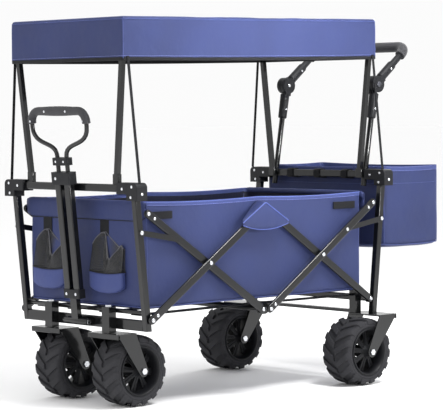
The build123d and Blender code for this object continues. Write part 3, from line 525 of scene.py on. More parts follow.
def rounded_lines(low, high, radius, step, round_low=True, round_high=True):
    """Grid lines along a soft box, closer together where its edge is rounded."""
    bends = [radius * (1 - math.tan(math.radians(angle))) for angle in (45, 30, 15)]
    lines = spaced(low + radius * round_low, high - radius * round_high, step)
    before = [low + bend for bend in bends] if round_low else []
    after = [high - bend for bend in reversed(bends)] if round_high else []
    return before + lines + after


def soft_box(low, high, radius, step, open_top, drape):
    """A rounded box with one open end, whose points drape(point, normal) moves into the cloth's shape."""
    lines = [
        rounded_lines(low.x, high.x, radius, step),
        rounded_lines(low.y, high.y, radius, step),
        rounded_lines(low.z, high.z, radius, step, open_top, not open_top),
    ]
    core_low = low + Vector((radius, radius, radius * open_top))
    core_high = high - Vector((radius, radius, radius * (not open_top)))
    index, points, faces = {}, [], []

    def corner(*key):
        if key not in index:
            flat = Vector([lines[a][key[a]] for a in range(3)])
            core = Vector([min(max(flat[a], core_low[a]), core_high[a]) for a in range(3)])
            normal = (flat - core).normalized()
            index[key] = len(points)
            points.append(drape(core + normal * radius, normal))
        return index[key]

    nx, ny, nz = (len(line) - 1 for line in lines)
    for k in range(nz):
        for j in range(ny):
            near, far = corner(nx, j, k), corner(nx, j + 1, k)
            faces.append((near, far, corner(nx, j + 1, k + 1), corner(nx, j, k + 1)))
            faces.append((corner(0, j, k), corner(0, j, k + 1), corner(0, j + 1, k + 1), corner(0, j + 1, k)))
        for i in range(nx):
            near, far = corner(i, ny, k), corner(i, ny, k + 1)
            faces.append((near, far, corner(i + 1, ny, k + 1), corner(i + 1, ny, k)))
            faces.append((corner(i, 0, k), corner(i + 1, 0, k), corner(i + 1, 0, k + 1), corner(i, 0, k + 1)))
    end = 0 if open_top else nz
    for i in range(nx):
        for j in range(ny):
            near, far = corner(i, j, end), corner(i + 1, j, end)
            face = (near, far, corner(i + 1, j + 1, end), corner(i, j + 1, end))
            faces.append(tuple(reversed(face)) if open_top else face)
    return points, faces


def round_line(low, high, radius, height, step, drape, out=0.0):
    """Points and outward directions round a draped soft box at one height."""
    corners = [
        (high.x - radius, high.y - radius, 0),
        (low.x + radius, high.y - radius, 90),
        (low.x + radius, low.y + radius, 180),
        (high.x - radius, low.y + radius, 270),
    ]
    ring = []
    for i, (x, y, start) in enumerate(corners):
        for turn in (0, 22.5, 45, 67.5, 90):
            angle = math.radians(start + turn)
            normal = Vector((math.cos(angle), math.sin(angle), 0))
            ring.append((Vector((x, y, height)) + normal * radius, normal))
        x2, y2, _ = corners[(i + 1) % 4]
        here, normal = ring[-1]
        there = Vector((x2, y2, height)) + normal * radius
        run = spaced(0, (there - here).length, step)[1:-1]
        ring += [(here.lerp(there, d / (there - here).length), normal) for d in run]
    return [drape(p, n) + n * out for p, n in ring], [n for _, n in ring]


def creases(point, height):
    """How far soft creases stand out at a point: broad folds with finer ones between."""
    broad = noise.noise(point * (1 / 0.11))
    stretched = noise.noise(Vector((point.x / 0.07, point.y / 0.07, point.z / 0.2)))
    fine = noise.noise(point * (1 / 0.035))
    return height * (broad + 0.8 * stretched + 0.25 * fine)


def fan(point, corner, across, reach, height):
    """Pull folds that fan out from a point where the cloth is held."""
    gap = point - corner
    distance = math.hypot(gap.dot(across), gap.z)
    angle = math.atan2(gap.z, abs(gap.dot(across)) + 1e-6)
    start = min(1.0, distance / (0.25 * reach))
    return height * start * math.exp(-distance / reach) * math.sin(angle * 11)


def stitches(name, rows, body, keep=None):
    """Rows of sewing thread; each row holds points on the cloth and their outward directions."""
    # Stitches are 3 mm long and are drawn 6 mm long, so that they show.
    parts = []
    for line, ways in rows:
        for a, b, way in zip(line, line[1:], ways):
            count = max(1, round((b - a).length / (8 * MM)))
            for i in range(count):
                start, end = (a.lerp(b, (i + t) / count) for t in (0.12, 0.88))
                lift = way * 0.25 * MM
                path = [start - lift, start.lerp(end, 0.2) + lift, start.lerp(end, 0.8) + lift, end - lift]
                parts.append(sweep(path, round_section(0.45 * MM, 5), [way] * 4))
    thread = make_piece(name, *joined(parts), bonded_thread, body, "blue_canvas")
    if keep is not None:
        gather(thread)
    return thread


def gather(piece):
    """Give a sewn piece its own copy of its mesh."""
    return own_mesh(piece)


# ------------------------------------------------------------------ basket
basket_low, basket_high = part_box("basket")
basket_radius = 18 * MM
front_travel = 308 * MM
basket_keep = (middle_y - basket_low.y - front_travel) / (middle_y - basket_low.y) - 0.01


def basket_drape(point, normal):
    """A point of the basket's plain box once the canvas hangs from its hem."""
    cloth = bpy.context.scene.wagon_cloth
    tall = (point.z - basket_low.z) / (basket_high.z - basket_low.z)
    along = (point.y - basket_low.y) / (basket_high.y - basket_low.y)
    wall = math.sin(math.pi * min(1, max(0, tall)))
    middle = math.sin(math.pi * min(1, max(0, along)))
    out = creases(point, cloth.crease) * (0.35 + 0.65 * wall)
    if abs(normal.x) > 0.5:
        for y in (basket_low.y, basket_high.y):
            held = Vector((point.x, y, basket_high.z))
            out += fan(point, held, BACK, 90 * MM, 2.2 * MM)
        out += (3.0 * MM * wall - 1.5 * MM) * middle
        out = min(out, 5 * MM)
    elif abs(normal.y) > 0.5:
        out += 2.0 * MM * wall
        out = min(out, 3 * MM)
    else:
        out = -2.5 * MM * middle + 0.5 * out
    moved = point + normal * out
    if tall > 0.5:
        swag = abs(math.sin(2 * math.pi * along)) if abs(normal.x) > 0.5 else 0.3
        moved.z -= 4.5 * MM * swag * (tall - 0.5) * 2
    return moved


class WAGON_OT_basket(bpy.types.Operator):
    """Sew the basket: canvas shell, lining, hem and piped bottom seam"""

    bl_idname = "wagon.basket"
    bl_label = "Basket"

    def execute(self, context):
        cloth = context.scene.wagon_cloth
        shell = soft_box(basket_low, basket_high, basket_radius, cloth.step, True, basket_drape)
        basket = make_piece("basket_canvas", *shell, polyester_canvas, "basket_hubs", "blue_canvas", 180)
        thicken(basket, cloth.thickness, coated_lining)
        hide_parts("basket")
        gather(basket)
        step = cloth.step
        hem, ways = round_line(
            basket_low, basket_high, basket_radius, basket_high.z, step, basket_drape, -0.4 * MM
        )
        section = [(v, u) for u, v in flat_section(11 * MM, 3.2 * MM)]
        hem = [p - UP * 3 * MM for p in hem]
        tape = make_piece(
            "basket_hem", *sweep(hem, section, ways, True), canvas_seam, "basket_hubs", "blue_canvas"
        )
        gather(tape)
        low_ring = basket_low.z + 7 * MM
        seam, ways = round_line(
            basket_low, basket_high, basket_radius, low_ring, step, basket_drape, -1.0 * MM
        )
        cord = sweep(seam, round_section(cloth.piping / 2), ways, True)
        piping = make_piece("basket_bottom_piping", *cord, canvas_seam, "basket_hubs", "blue_canvas")
        gather(piping)
        rows = []
        for drop in (-4, 4):
            rows.append(([p + way * 1.7 * MM + UP * drop * MM for p, way in zip(hem, ways)], ways))
        stitches("basket_hem_stitches", rows, "basket_hubs", basket_keep)
        edge = [p + way * 1.2 * MM + UP * 5 * MM for p, way in zip(hem, ways)]
        cord = sweep(edge, round_section(1.3 * MM, 8), ways, True)
        rim = make_piece("basket_rim_piping", *cord, canvas_piping, "basket_hubs", "blue_canvas")
        gather(rim)
        return {"FINISHED"}


class WAGON_OT_basket_trim(bpy.types.Operator):
    """Add the basket's front and rear cuffs, corner seams, hub covers and side tabs"""

    bl_idname = "wagon.basket_trim"
    bl_label = "Basket trim"

    def execute(self, context):
        cloth = context.scene.wagon_cloth
        self.add_cuffs(cloth)
        self.add_corner_seams(cloth)
        self.add_hub_covers(cloth)
        self.add_tabs()
        return {"FINISHED"}

    def add_cuffs(self, cloth):
        """The cuffs are turned over the front and rear hems and reach out to the uprights."""
        half = 245 * MM
        top = basket_high.z + 4 * MM
        for name, face_y, out in (("front_cuff", basket_low.y, -1), ("rear_cuff", basket_high.y, 1)):
            columns = spaced(-half, half, 12 * MM)
            # Down the outside, over the top and a little way down inside: (out, down) in millimetres.
            profile = [(3, 52), (4.2, 44), (5.5, 32), (6.3, 20), (6, 9), (4.2, 2), (1.2, 0)]
            profile += [(-2, 1.5), (-3.5, 6), (-3.8, 14)]
            points, faces = [], []
            for x in columns:
                edge = max(0.0, abs(x) - (half - 26 * MM)) / (26 * MM)
                for k, (proud, down) in enumerate(profile):
                    here = Vector((x, face_y, top - down * MM))
                    bulge = proud * MM + creases(here, 1.1 * MM) * (k < 7)
                    squeeze = 1 - 0.5 * edge * edge
                    drop = down * (1 - 0.28 * edge * edge) * MM if down > 20 else down * MM
                    z = top - drop - 5 * MM * edge * edge
                    points.append(Vector((x, face_y + out * bulge * squeeze, z)))
            rows = len(profile)
            for i in range(len(columns) - 1):
                for k in range(rows - 1):
                    quad = (i * rows + k, (i + 1) * rows + k, (i + 1) * rows + k + 1, i * rows + k + 1)
                    faces.append(quad if out < 0 else tuple(reversed(quad)))
            cuff = make_piece(name, points, faces, polyester_canvas, "basket_hubs", "blue_canvas", 180)
            thicken(cuff, cloth.thickness * 1.2, None, 0.0)
            gather(cuff)
            edge_line = [points[i * rows] - UP * 0.3 * MM for i in range(len(columns))]
            binding = sweep(edge_line, round_section(1.3 * MM, 8), [UP] * len(edge_line))
            tape = make_piece(f"{name}_binding", *binding, grosgrain_binding, "basket_hubs", "black_webbing")
            gather(tape)

    def add_corner_seams(self, cloth):
        """A piped seam runs down each corner of the basket."""
        parts = []
        for x_sign in (1, -1):
            for y_sign, edge_y in ((-1, basket_low.y), (1, basket_high.y)):
                side = x_sign * basket_high.x
                normal = Vector((x_sign, 0.35 * y_sign, 0)).normalized()
                start = Vector((side - x_sign * 2 * MM, edge_y - y_sign * 12 * MM, 0))
                heights = spaced(basket_low.z + 9 * MM, basket_high.z - 6 * MM, 20 * MM)
                line = [basket_drape(Vector((start.x, start.y, z)), normal) for z in heights]
                parts.append(sweep(line, round_section(cloth.piping / 2, 8), [LEFT] * len(line)))
        seams = make_piece(
            "basket_corner_piping", *joined(parts), canvas_seam, "basket_hubs", "blue_canvas"
        )
        gather(seams)

    def add_hub_covers(self, cloth):
        """A tented canvas cover over each top hub, with a piped edge."""
        out_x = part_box("top_hub_pins")[1].x + 2.5 * MM
        half = 86 * MM
        cover_y = middle_y - 14 * MM
        peak = pivots["hub_level"].z + 15.5 * MM
        slope = math.tan(BAR_SLOPE)
        edges = []
        columns = spaced(-half, half, 7 * MM)
        steps = [(-33, 7), (-22, 6), (-11, 4.5), (-4, 2.8), (-0.6, 0)]
        down_steps = [0.12, 0.3, 0.5, 0.7, 0.86, 1.0]
        points, faces, rim, low_rim = [], [], [], []
        for y in columns:
            top = peak - abs(y) * slope * 0.92
            low = peak - 73 * MM + 14 * MM * (y / half) ** 2
            low = min(low, top - 1 * MM)
            reach = 1.0 - 0.88 * abs(y / half) ** 1.2
            column = []
            for inward, rise in steps:
                column.append(Vector((out_x + inward * reach * MM, cover_y + y, top + rise * MM)))
            for share in down_steps:
                puff = 3.0 * MM * math.sin(math.pi * share) * (1 - (y / half) ** 2)
                z = lerp(top - 1 * MM, low, share)
                wave = creases(Vector((out_x, y, z)), 0.8 * MM) * share
                column.append(Vector((out_x + puff + wave, cover_y + y, z)))
            rim.append(column[4] + Vector((0.6 * MM, 0, 0.8 * MM)))
            low_rim.append(column[-1])
            points += column
        rows = len(steps) + len(down_steps)
        for i in range(len(columns) - 1):
            for k in range(rows - 1):
                faces.append((i * rows + k, i * rows + k + 1, (i + 1) * rows + k + 1, (i + 1) * rows + k))
        covers = joined([(points, faces), mirrored((points, faces))])
        cover = make_piece("hub_covers", *covers, polyester_canvas, "basket_hubs", "blue_canvas", 180)
        thicken(cover, cloth.thickness, None, -1.0)
        gather(cover)
        for line, radius in ((rim, 1.5 * MM), (low_rim, 1.2 * MM)):
            cord = sweep(line, round_section(radius, 8), [LEFT] * len(line))
            edges += [cord, mirrored(cord)]
        piping = make_piece("hub_cover_piping", *joined(edges), canvas_piping, "basket_hubs", "blue_canvas")
        gather(piping)

    def add_tabs(self):
        """Short hook-and-loop tabs hold the basket's sides to the bars near each corner."""
        parts = []
        for y0, y1, z in ((-505, -432, 507), (176, 262, 508)):
            path = []
            for share in (0, 0.25, 0.5, 0.75, 1):
                y = lerp(y0, y1, share) * MM
                bow = math.sin(math.pi * share) * 1.5 * MM
                path.append(Vector((basket_high.x + 4.6 * MM + bow, y, z * MM)))
            part = sweep(path, flat_section(20 * MM, 2.2 * MM), [UP] * len(path))
            parts += [part, mirrored(part)]
        tabs = make_piece(
            "basket_side_tabs", *joined(parts), polyester_webbing, "basket_hubs", "black_webbing"
        )
        gather(tabs)


class WAGON_OT_front_pockets(bpy.types.Operator):
    """Sew the two front pouches with their net panels and straps"""

    bl_idname = "wagon.front_pockets"
    bl_label = "Front pockets"

    def execute(self, context):
        cloth = context.scene.wagon_cloth
        low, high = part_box("front_pockets")
        pouch_w = 134 * MM
        parts, nets, elastics, trims, straps = [], [], [], [], []
        for cx in (101 * MM, -138 * MM):
            box_low = Vector((cx - pouch_w / 2, low.y, low.z))
            box_high = Vector((cx + pouch_w / 2, high.y, high.z))

            def pouch_drape(point, normal, cx=cx):
                across = (point.x - cx) / (pouch_w / 2)
                tall = (point.z - low.z) / (high.z - low.z)
                moved = point + normal * creases(point, 1.0 * MM)
                moved.z += 16 * MM * abs(across) ** 3 * (1 - tall)
                belly = math.sin(math.pi * min(1, max(0, 0.15 + 0.75 * tall))) * (1 - across * across)
                if normal.y < 0.3:
                    moved.y -= 5 * MM * belly
                moved.z -= 5 * MM * tall * (1 - across * across)
                return moved

            parts.append(soft_box(box_low, box_high, 6 * MM, 8 * MM, True, pouch_drape))
            line, ways = round_line(box_low, box_high, 6 * MM, high.z, 8 * MM, pouch_drape, 0.3 * MM)
            elastics.append(sweep(line, round_section(1.5 * MM, 8), ways, True))
            nets += self.net_panels(cx, low, high, pouch_w, trims)
            strap_x = cx - 18 * MM
            path = [
                Vector((strap_x, high.y - 1.5 * MM, high.z + up * MM)) for up in (92, 106, 122, 140)
            ]
            straps.append(sweep(path, flat_section(36 * MM, 1.8 * MM), [LEFT] * len(path)))
        # The pouch shells take the canvas painted 1.6 times lighter, as painted light.
        pouches = make_piece(
            "pocket_pouches", *joined(parts), canvas_seam, "basket_hubs", "blue_canvas", 180
        )
        thicken(pouches, cloth.thickness, coated_lining)
        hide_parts("front_pockets")
        rims = make_piece(
            "pocket_elastic", *joined(elastics), grosgrain_binding, "basket_hubs", "black_webbing"
        )
        net = make_piece("pocket_net", *joined(nets), knitted_net, "basket_hubs", "black_webbing", 180)
        modify(net, "WIREFRAME", thickness=1.9 * MM, use_replace=True, use_even_offset=True)
        settle(net)
        trim = make_piece("pocket_net_binding", *joined(trims), elastic_tape, "basket_hubs", "black_webbing")
        loops = make_piece(
            "pocket_straps", *joined(straps), polyester_webbing, "basket_hubs", "black_webbing"
        )
        for piece in (pouches, rims, net, trim, loops):
            gather(piece)
        return {"FINISHED"}

    def net_panels(self, cx, low, high, pouch_w, elastics):
        """A net bag above each pouch: a tall back, and a front that droops open between two peaks."""
        panels = []
        profiles = (
            ([(-1, 70), (-0.6, 92), (-0.2, 108), (0.1, 92), (0.6, 70), (1, 62)], high.y - 1.2 * MM, 0.0),
            (
                [(-1, 74), (-0.4, 104), (-0.2, 106), (0.0, 40), (0.15, 34), (0.8, 74), (1, 66)],
                low.y + 1 * MM,
                1.0,
            ),
        )
        for outline, y, slack in profiles:
            points, faces = [], []
            columns = spaced(-1, 1, 0.06)
            rows = 24
            for u in columns:
                top = self.height_at(outline, u)
                for k in range(rows):
                    share = k / (rows - 1)
                    x = cx + u * (pouch_w / 2 - 3 * MM)
                    z = high.z - 4 * MM + top * MM * share
                    fold = math.sin(u * 7 + share * 3) * 3 * MM * slack * share
                    lean = (high.y - low.y) * 0.55 * slack * share
                    points.append(Vector((x, y + lean + fold, z)))
            for i in range(len(columns) - 1):
                for k in range(rows - 1):
                    a, b = i * rows + k, (i + 1) * rows + k
                    faces.append((a, b, b + 1, a + 1))
            panels.append((points, faces))
            rim = [points[i * rows + rows - 1] for i in range(len(columns))]
            elastics.append(sweep(rim, round_section(1.6 * MM, 8), [BACK] * len(rim)))
        return panels

    def height_at(self, outline, u):
        """The net's height in millimetres at a place across it."""
        for (u0, h0), (u1, h1) in zip(outline, outline[1:]):
            if u <= u1 + 1e-9:
                return lerp(h0, h1, (u - u0) / (u1 - u0))
        return outline[-1][1]


class WAGON_OT_floor_straps(bpy.types.Operator):
    """Stretch the webbing that carries the basket's floor"""

    bl_idname = "wagon.floor_straps"
    bl_label = "Floor straps"

    def execute(self, context):
        tube_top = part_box("centre_cross_tube")[1].z
        front_y = middle_y - 415 * MM
        rear_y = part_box("rear_lower_crossbars")[0].y + 10 * MM
        parts = []
        for x in (-196, -66, 66, 196):
            path = []
            for share in spaced(0, 1, 0.06):
                y = lerp(front_y, rear_y, share)
                near = 1 - min(1, abs(y - middle_y) / 0.4)
                z = lerp(basket_low.z - 15 * MM, tube_top + 3 * MM, near)
                path.append(Vector((x * MM, y, z)))
            parts.append(sweep(path, flat_section(38 * MM, 2.4 * MM), [LEFT] * len(path)))
        straps = make_piece(
            "floor_support_straps", *joined(parts), polyester_webbing, "centre_frame", "black_webbing"
        )
        gather(straps)
        return {"FINISHED"}


# ------------------------------------------------------------------ rear bag
bag_low, bag_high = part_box("rear_bag")
bag_radius = 16 * MM


def bag_drape(point, normal):
    """A point of the bag's plain box once the canvas hangs and its bottom sags."""
    tall = (point.z - bag_low.z) / (bag_high.z - bag_low.z)
    across = point.x / bag_high.x
    along = 2 * (point.y - bag_low.y) / (bag_high.y - bag_low.y) - 1
    belly = math.sin(math.pi * min(1, max(0, tall)))
    moved = point + normal * creases(point + UP, 1.9 * MM) * (0.3 + 0.7 * belly)
    if abs(normal.x) > 0.5:
        moved.x += math.copysign(2.5 * MM * belly * (1 - along * along), normal.x)
    if normal.y > 0.5:
        moved.y += 4 * MM * belly * (1 - across * across)
    moved.z += 9 * MM * (1 - tall) * max(0, abs(across) ** 4 * 0.7 + abs(along) ** 4 * 0.5)
    moved.z -= 3 * MM * max(0, tall - 0.5) * 2 * (1 - along * along) * (abs(normal.x) > 0.5)
    moved.z -= 4 * MM * max(0, tall - 0.5) * 2 * (1 - across * across) * (abs(normal.y) > 0.5)
    return moved


class WAGON_OT_rear_bag(bpy.types.Operator):
    """Sew the rear storage bag with its lining, piped seams and hem"""

    bl_idname = "wagon.rear_bag"
    bl_label = "Rear bag"

    def execute(self, context):
        cloth = context.scene.wagon_cloth
        shell = soft_box(bag_low, bag_high, bag_radius, cloth.step, True, bag_drape)
        bag = make_piece("bag_canvas", *shell, polyester_canvas, "rear_frame", "blue_canvas", 180)
        thicken(bag, cloth.thickness, coated_lining)
        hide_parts("rear_bag")
        hem, ways = round_line(bag_low, bag_high, bag_radius, bag_high.z, cloth.step, bag_drape)
        hem = [p - UP * 4 * MM for p in hem]
        band = [(v, u) for u, v in flat_section(14 * MM, 3.4 * MM)]
        make_piece("bag_hem", *sweep(hem, band, ways, True), canvas_seam, "rear_frame", "blue_canvas")
        thread = []
        for drop in (-5.5, 5):
            row = [p + way * 1.8 * MM + UP * drop * MM for p, way in zip(hem, ways)]
            thread.append((row, ways))
        stitches("bag_hem_stitches", thread, "rear_frame")
        piped = []
        heights = (bag_low.z + bag_radius * 0.35, bag_high.z - 48 * MM)
        for z, radius in zip(heights, (cloth.piping / 2, 0.8 * MM)):
            line, ways = round_line(bag_low, bag_high, bag_radius, z, cloth.step, bag_drape)
            piped.append(sweep(line, round_section(radius, 8), ways, True))
        for x_sign in (1, -1):
            for y_sign, edge in ((-1, bag_low.y), (1, bag_high.y)):
                normal = Vector((x_sign, y_sign, 0)).normalized()
                core = Vector((x_sign * (bag_high.x - bag_radius), edge - y_sign * bag_radius, 0))
                zs = spaced(bag_low.z + 8 * MM, bag_high.z - 8 * MM, 20 * MM)
                line = [bag_drape(core + normal * bag_radius + UP * z, normal) for z in zs]
                piped.append(sweep(line, round_section(cloth.piping / 2, 8), [LEFT] * len(line)))
        make_piece("bag_piping", *joined(piped), canvas_seam, "rear_frame", "blue_canvas")
        loops = []
        bar_low, bar_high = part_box("rear_top_crossbar")
        for x in (-110, 0, 110):
            top = Vector((x * MM, (bar_low.y + bar_high.y) / 2, (bar_low.z + bar_high.z) / 2))
            reach_y, reach_z = 13.2 * MM, 12.2 * MM
            path = [Vector((top.x, bag_low.y - 1 * MM, bag_high.z - 34 * MM))]
            path += [top + Vector((0, reach_y, -10 * MM)), top + Vector((0, reach_y, 8 * MM))]
            path += [top + Vector((0, 9 * MM, reach_z)), top + Vector((0, -9 * MM, reach_z))]
            path += [top + Vector((0, -reach_y, 8 * MM)), top + Vector((0, -reach_y, -8 * MM))]
            path += [top + Vector((0, -9 * MM, -reach_z)), top + Vector((0, 11 * MM, -reach_z))]
            loops.append(sweep(path, flat_section(24 * MM, 1.6 * MM), [LEFT] * len(path)))
        make_piece("bag_hanging_loops", *joined(loops), polyester_webbing, "rear_frame", "black_webbing")
        return {"FINISHED"}


# ------------------------------------------------------------------ canopy
canopy_low, canopy_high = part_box("canopy_cover")
canopy_pitch = math.radians(0.75)
canopy_rise = (canopy_high.y - canopy_low.y) * math.tan(canopy_pitch)
canopy_radius = 7 * MM
canopy_keep = 0.36


def canopy_drape(point, normal):
    """A point of the canopy's plain box once it is pitched and the cloth settles on its hoops."""
    along = (point.y - canopy_low.y) / (canopy_high.y - canopy_low.y)
    across = point.x / canopy_high.x
    top = canopy_high.z - canopy_rise
    hang = min(1, max(0, (top - point.z) / (top - canopy_low.z)))
    middle = math.sin(math.pi * min(1, max(0, along)))
    moved = point.copy()
    if normal.z > 0.7:
        moved.z += max(creases(point, 1.6 * MM), -0.5 * MM) * middle
        moved.z -= 8.0 * MM * middle**2 * (1 - across * across) * (1 + 0.3 * math.cos(4 * math.pi * along))
    else:
        moved += normal * max(creases(point, 2.6 * MM), -1.0 * MM) * hang
        if abs(normal.x) > 0.5:
            moved.x -= math.copysign(4.0 * MM * middle * hang, normal.x)
            for y in (canopy_low.y, canopy_high.y):
                folds = fan(point, Vector((point.x, y, top)), BACK, 80 * MM, 1.6 * MM)
                moved.x += folds * (1 if normal.x > 0 else -1)
        else:
            moved.y += normal.y * 2.0 * MM * hang * (1 - across * across)
    moved.z += (point.y - canopy_low.y) * math.tan(canopy_pitch)
    moved.z -= 2.0 * MM * hang * middle * (abs(normal.x) > 0.5)
    return moved


class WAGON_OT_canopy(bpy.types.Operator):
    """Sew the canopy with its bound hem, stitches and piped seams"""

    bl_idname = "wagon.canopy"
    bl_label = "Canopy"

    def execute(self, context):
        cloth = context.scene.wagon_cloth
        low = canopy_low.copy()
        high = Vector((canopy_high.x, canopy_high.y, canopy_high.z - canopy_rise))
        shell = soft_box(low, high, canopy_radius, cloth.step, False, canopy_drape)
        canopy = make_piece("canopy_canvas", *shell, polyester_canvas, "centre_frame", "blue_canvas", 180)
        thicken(canopy, cloth.thickness, coated_lining)
        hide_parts("canopy_cover")
        gather(canopy)
        hem, ways = round_line(low, high, canopy_radius, low.z, cloth.step, canopy_drape, -0.5 * MM)
        section = [(v, u) for u, v in flat_section(9 * MM, 3.4 * MM)]
        hem = [p + UP * 2.5 * MM for p in hem]
        tape = make_piece(
            "canopy_hem_binding",
            *sweep(hem, section, ways, True),
            grosgrain_binding,
            "centre_frame",
            "black_webbing",
        )
        gather(tape)
        row = [p + way * 1.5 * MM + UP * 8 * MM for p, way in zip(hem, ways)]
        stitches("canopy_hem_stitches", [(row, ways)], "centre_frame", canopy_keep)
        seams = []
        line, ways = round_line(
            low, high, canopy_radius, high.z - canopy_radius, cloth.step, canopy_drape, 0.2 * MM
        )
        seams.append(sweep(line, round_section(1.3 * MM, 8), ways, True))
        for x_sign in (1, -1):
            for y_sign, edge in ((-1, low.y), (1, high.y)):
                normal = Vector((x_sign, y_sign, 0)).normalized()
                core = Vector((x_sign * (high.x - canopy_radius), edge - y_sign * canopy_radius, 0))
                zs = spaced(low.z + 4 * MM, high.z - canopy_radius, 18 * MM)
                line = [canopy_drape(core + normal * canopy_radius + UP * z, normal) for z in zs]
                seams.append(sweep(line, round_section(1.5 * MM, 8), [LEFT] * len(line)))
        piping = make_piece("canopy_seams", *joined(seams), canvas_seam, "centre_frame", "blue_canvas")
        gather(piping)
        return {"FINISHED"}


# ------------------------------------------------------------------ tyres and rims
class WAGON_OT_tyres(bpy.types.Operator):
    """Mould the four tyres with chevron lugs and shoulder ribs"""

    bl_idname = "wagon.tyres"
    bl_label = "Tyres"

    def execute(self, context):
        tyres = context.scene.wagon_tyres
        for end in ("front", "rear"):
            for side, _ in SIDES:
                self.add_tyre(tyres, f"{end}_tyre_{side}", f"{end}_wheel_{side}", 3 if side == "left" else 11)
        return {"FINISHED"}

    def add_tyre(self, tyres, node, body, turn):
        """One tyre: a carcass with bead and sidewall ribs, and its lugs."""
        low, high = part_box(node)
        centre = (low + high) / 2
        radius = (high.z - low.z) / 2
        half = (high.x - low.x) / 2
        skin = radius - tyres.lug_height
        outline = [
            (half - 3 * MM, radius - 31.4 * MM),
            (half - 3 * MM, radius - 27 * MM),
            (half - 1.2 * MM, radius - 24 * MM),
            (half - 0.6 * MM, radius - 20 * MM),
            (half - 2.2 * MM, radius - 18.5 * MM),
            (half - 1.6 * MM, skin - 7 * MM),
            (half - 4 * MM, skin - 2.6 * MM),
            (half - 12 * MM, skin - 0.4 * MM),
            (half * 0.45, skin + 0.4 * MM),
            (0.0, skin + 0.8 * MM),
        ]
        profile = outline + [(-x, r) for x, r in reversed(outline[:-1])]
        parts = [turned(profile, centre, LEFT, 96, closed=True)]
        pitch = 2 * math.pi / tyres.chevrons
        for k in range(tyres.chevrons):
            for x_sign, shift in ((1, 0.0), (-1, 0.5)):
                start = math.radians(turn) + (k + shift) * pitch
                parts.append(self.lug(tyres, centre, radius, half, start, x_sign))
        tyre = make_piece(f"{node}_tread", *joined(parts), tyre_rubber, body, "tyre_rubber", 35)
        modify(tyre, "BEVEL", width=0.9 * MM, segments=2, limit_method="ANGLE", angle_limit=math.radians(38))
        settle(tyre)
        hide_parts(node)

    def lug(self, tyres, centre, radius, half, start, x_sign):
        """One arm of a chevron, from beside the centre line over the shoulder and down the sidewall."""
        # Each station is (across from the centre, drop of its top, drop of its foot) in millimetres.
        stations = [(2.5, 0.0, 9), (13, 0.1, 9), (25, 0.4, 9), (36, 1.2, 10)]
        stations += [(43.5, 3.0, 12), (48, 6.6, 14), (49.7, 11.5, 16), (49.9, 17, 20)]
        wide = half / MM / 50
        lead = math.radians(21)
        points, faces = [], []
        for i, (across, drop, foot) in enumerate(stations):
            share = min(1.0, across / 49)
            middle = start - lead * (1 - share)
            spread = tyres.lug_width / 2 / radius * (0.72 + 0.3 * share)
            foot_x = min(across, 46.5)
            for x, r in ((across, radius - drop * MM), (foot_x, radius - foot * MM)):
                for edge in (-1, 0, 1) if r > radius - foot * MM else (1, -1):
                    angle = middle + edge * spread
                    out = Vector((0, math.sin(angle), math.cos(angle)))
                    points.append(centre + LEFT * x_sign * x * wide * MM + out * r)
        ring = 5
        for i in range(len(stations) - 1):
            for k in range(ring):
                a, b = i * ring, (i + 1) * ring
                quad = (a + k, a + (k + 1) % ring, b + (k + 1) % ring, b + k)
                faces.append(tuple(reversed(quad)) if x_sign > 0 else quad)
        last = (len(stations) - 1) * ring
        first_cap, last_cap = tuple(range(ring)), tuple(reversed(range(last, last + ring)))
        faces += [first_cap, last_cap] if x_sign > 0 else [first_cap[::-1], last_cap[::-1]]
        return points, faces


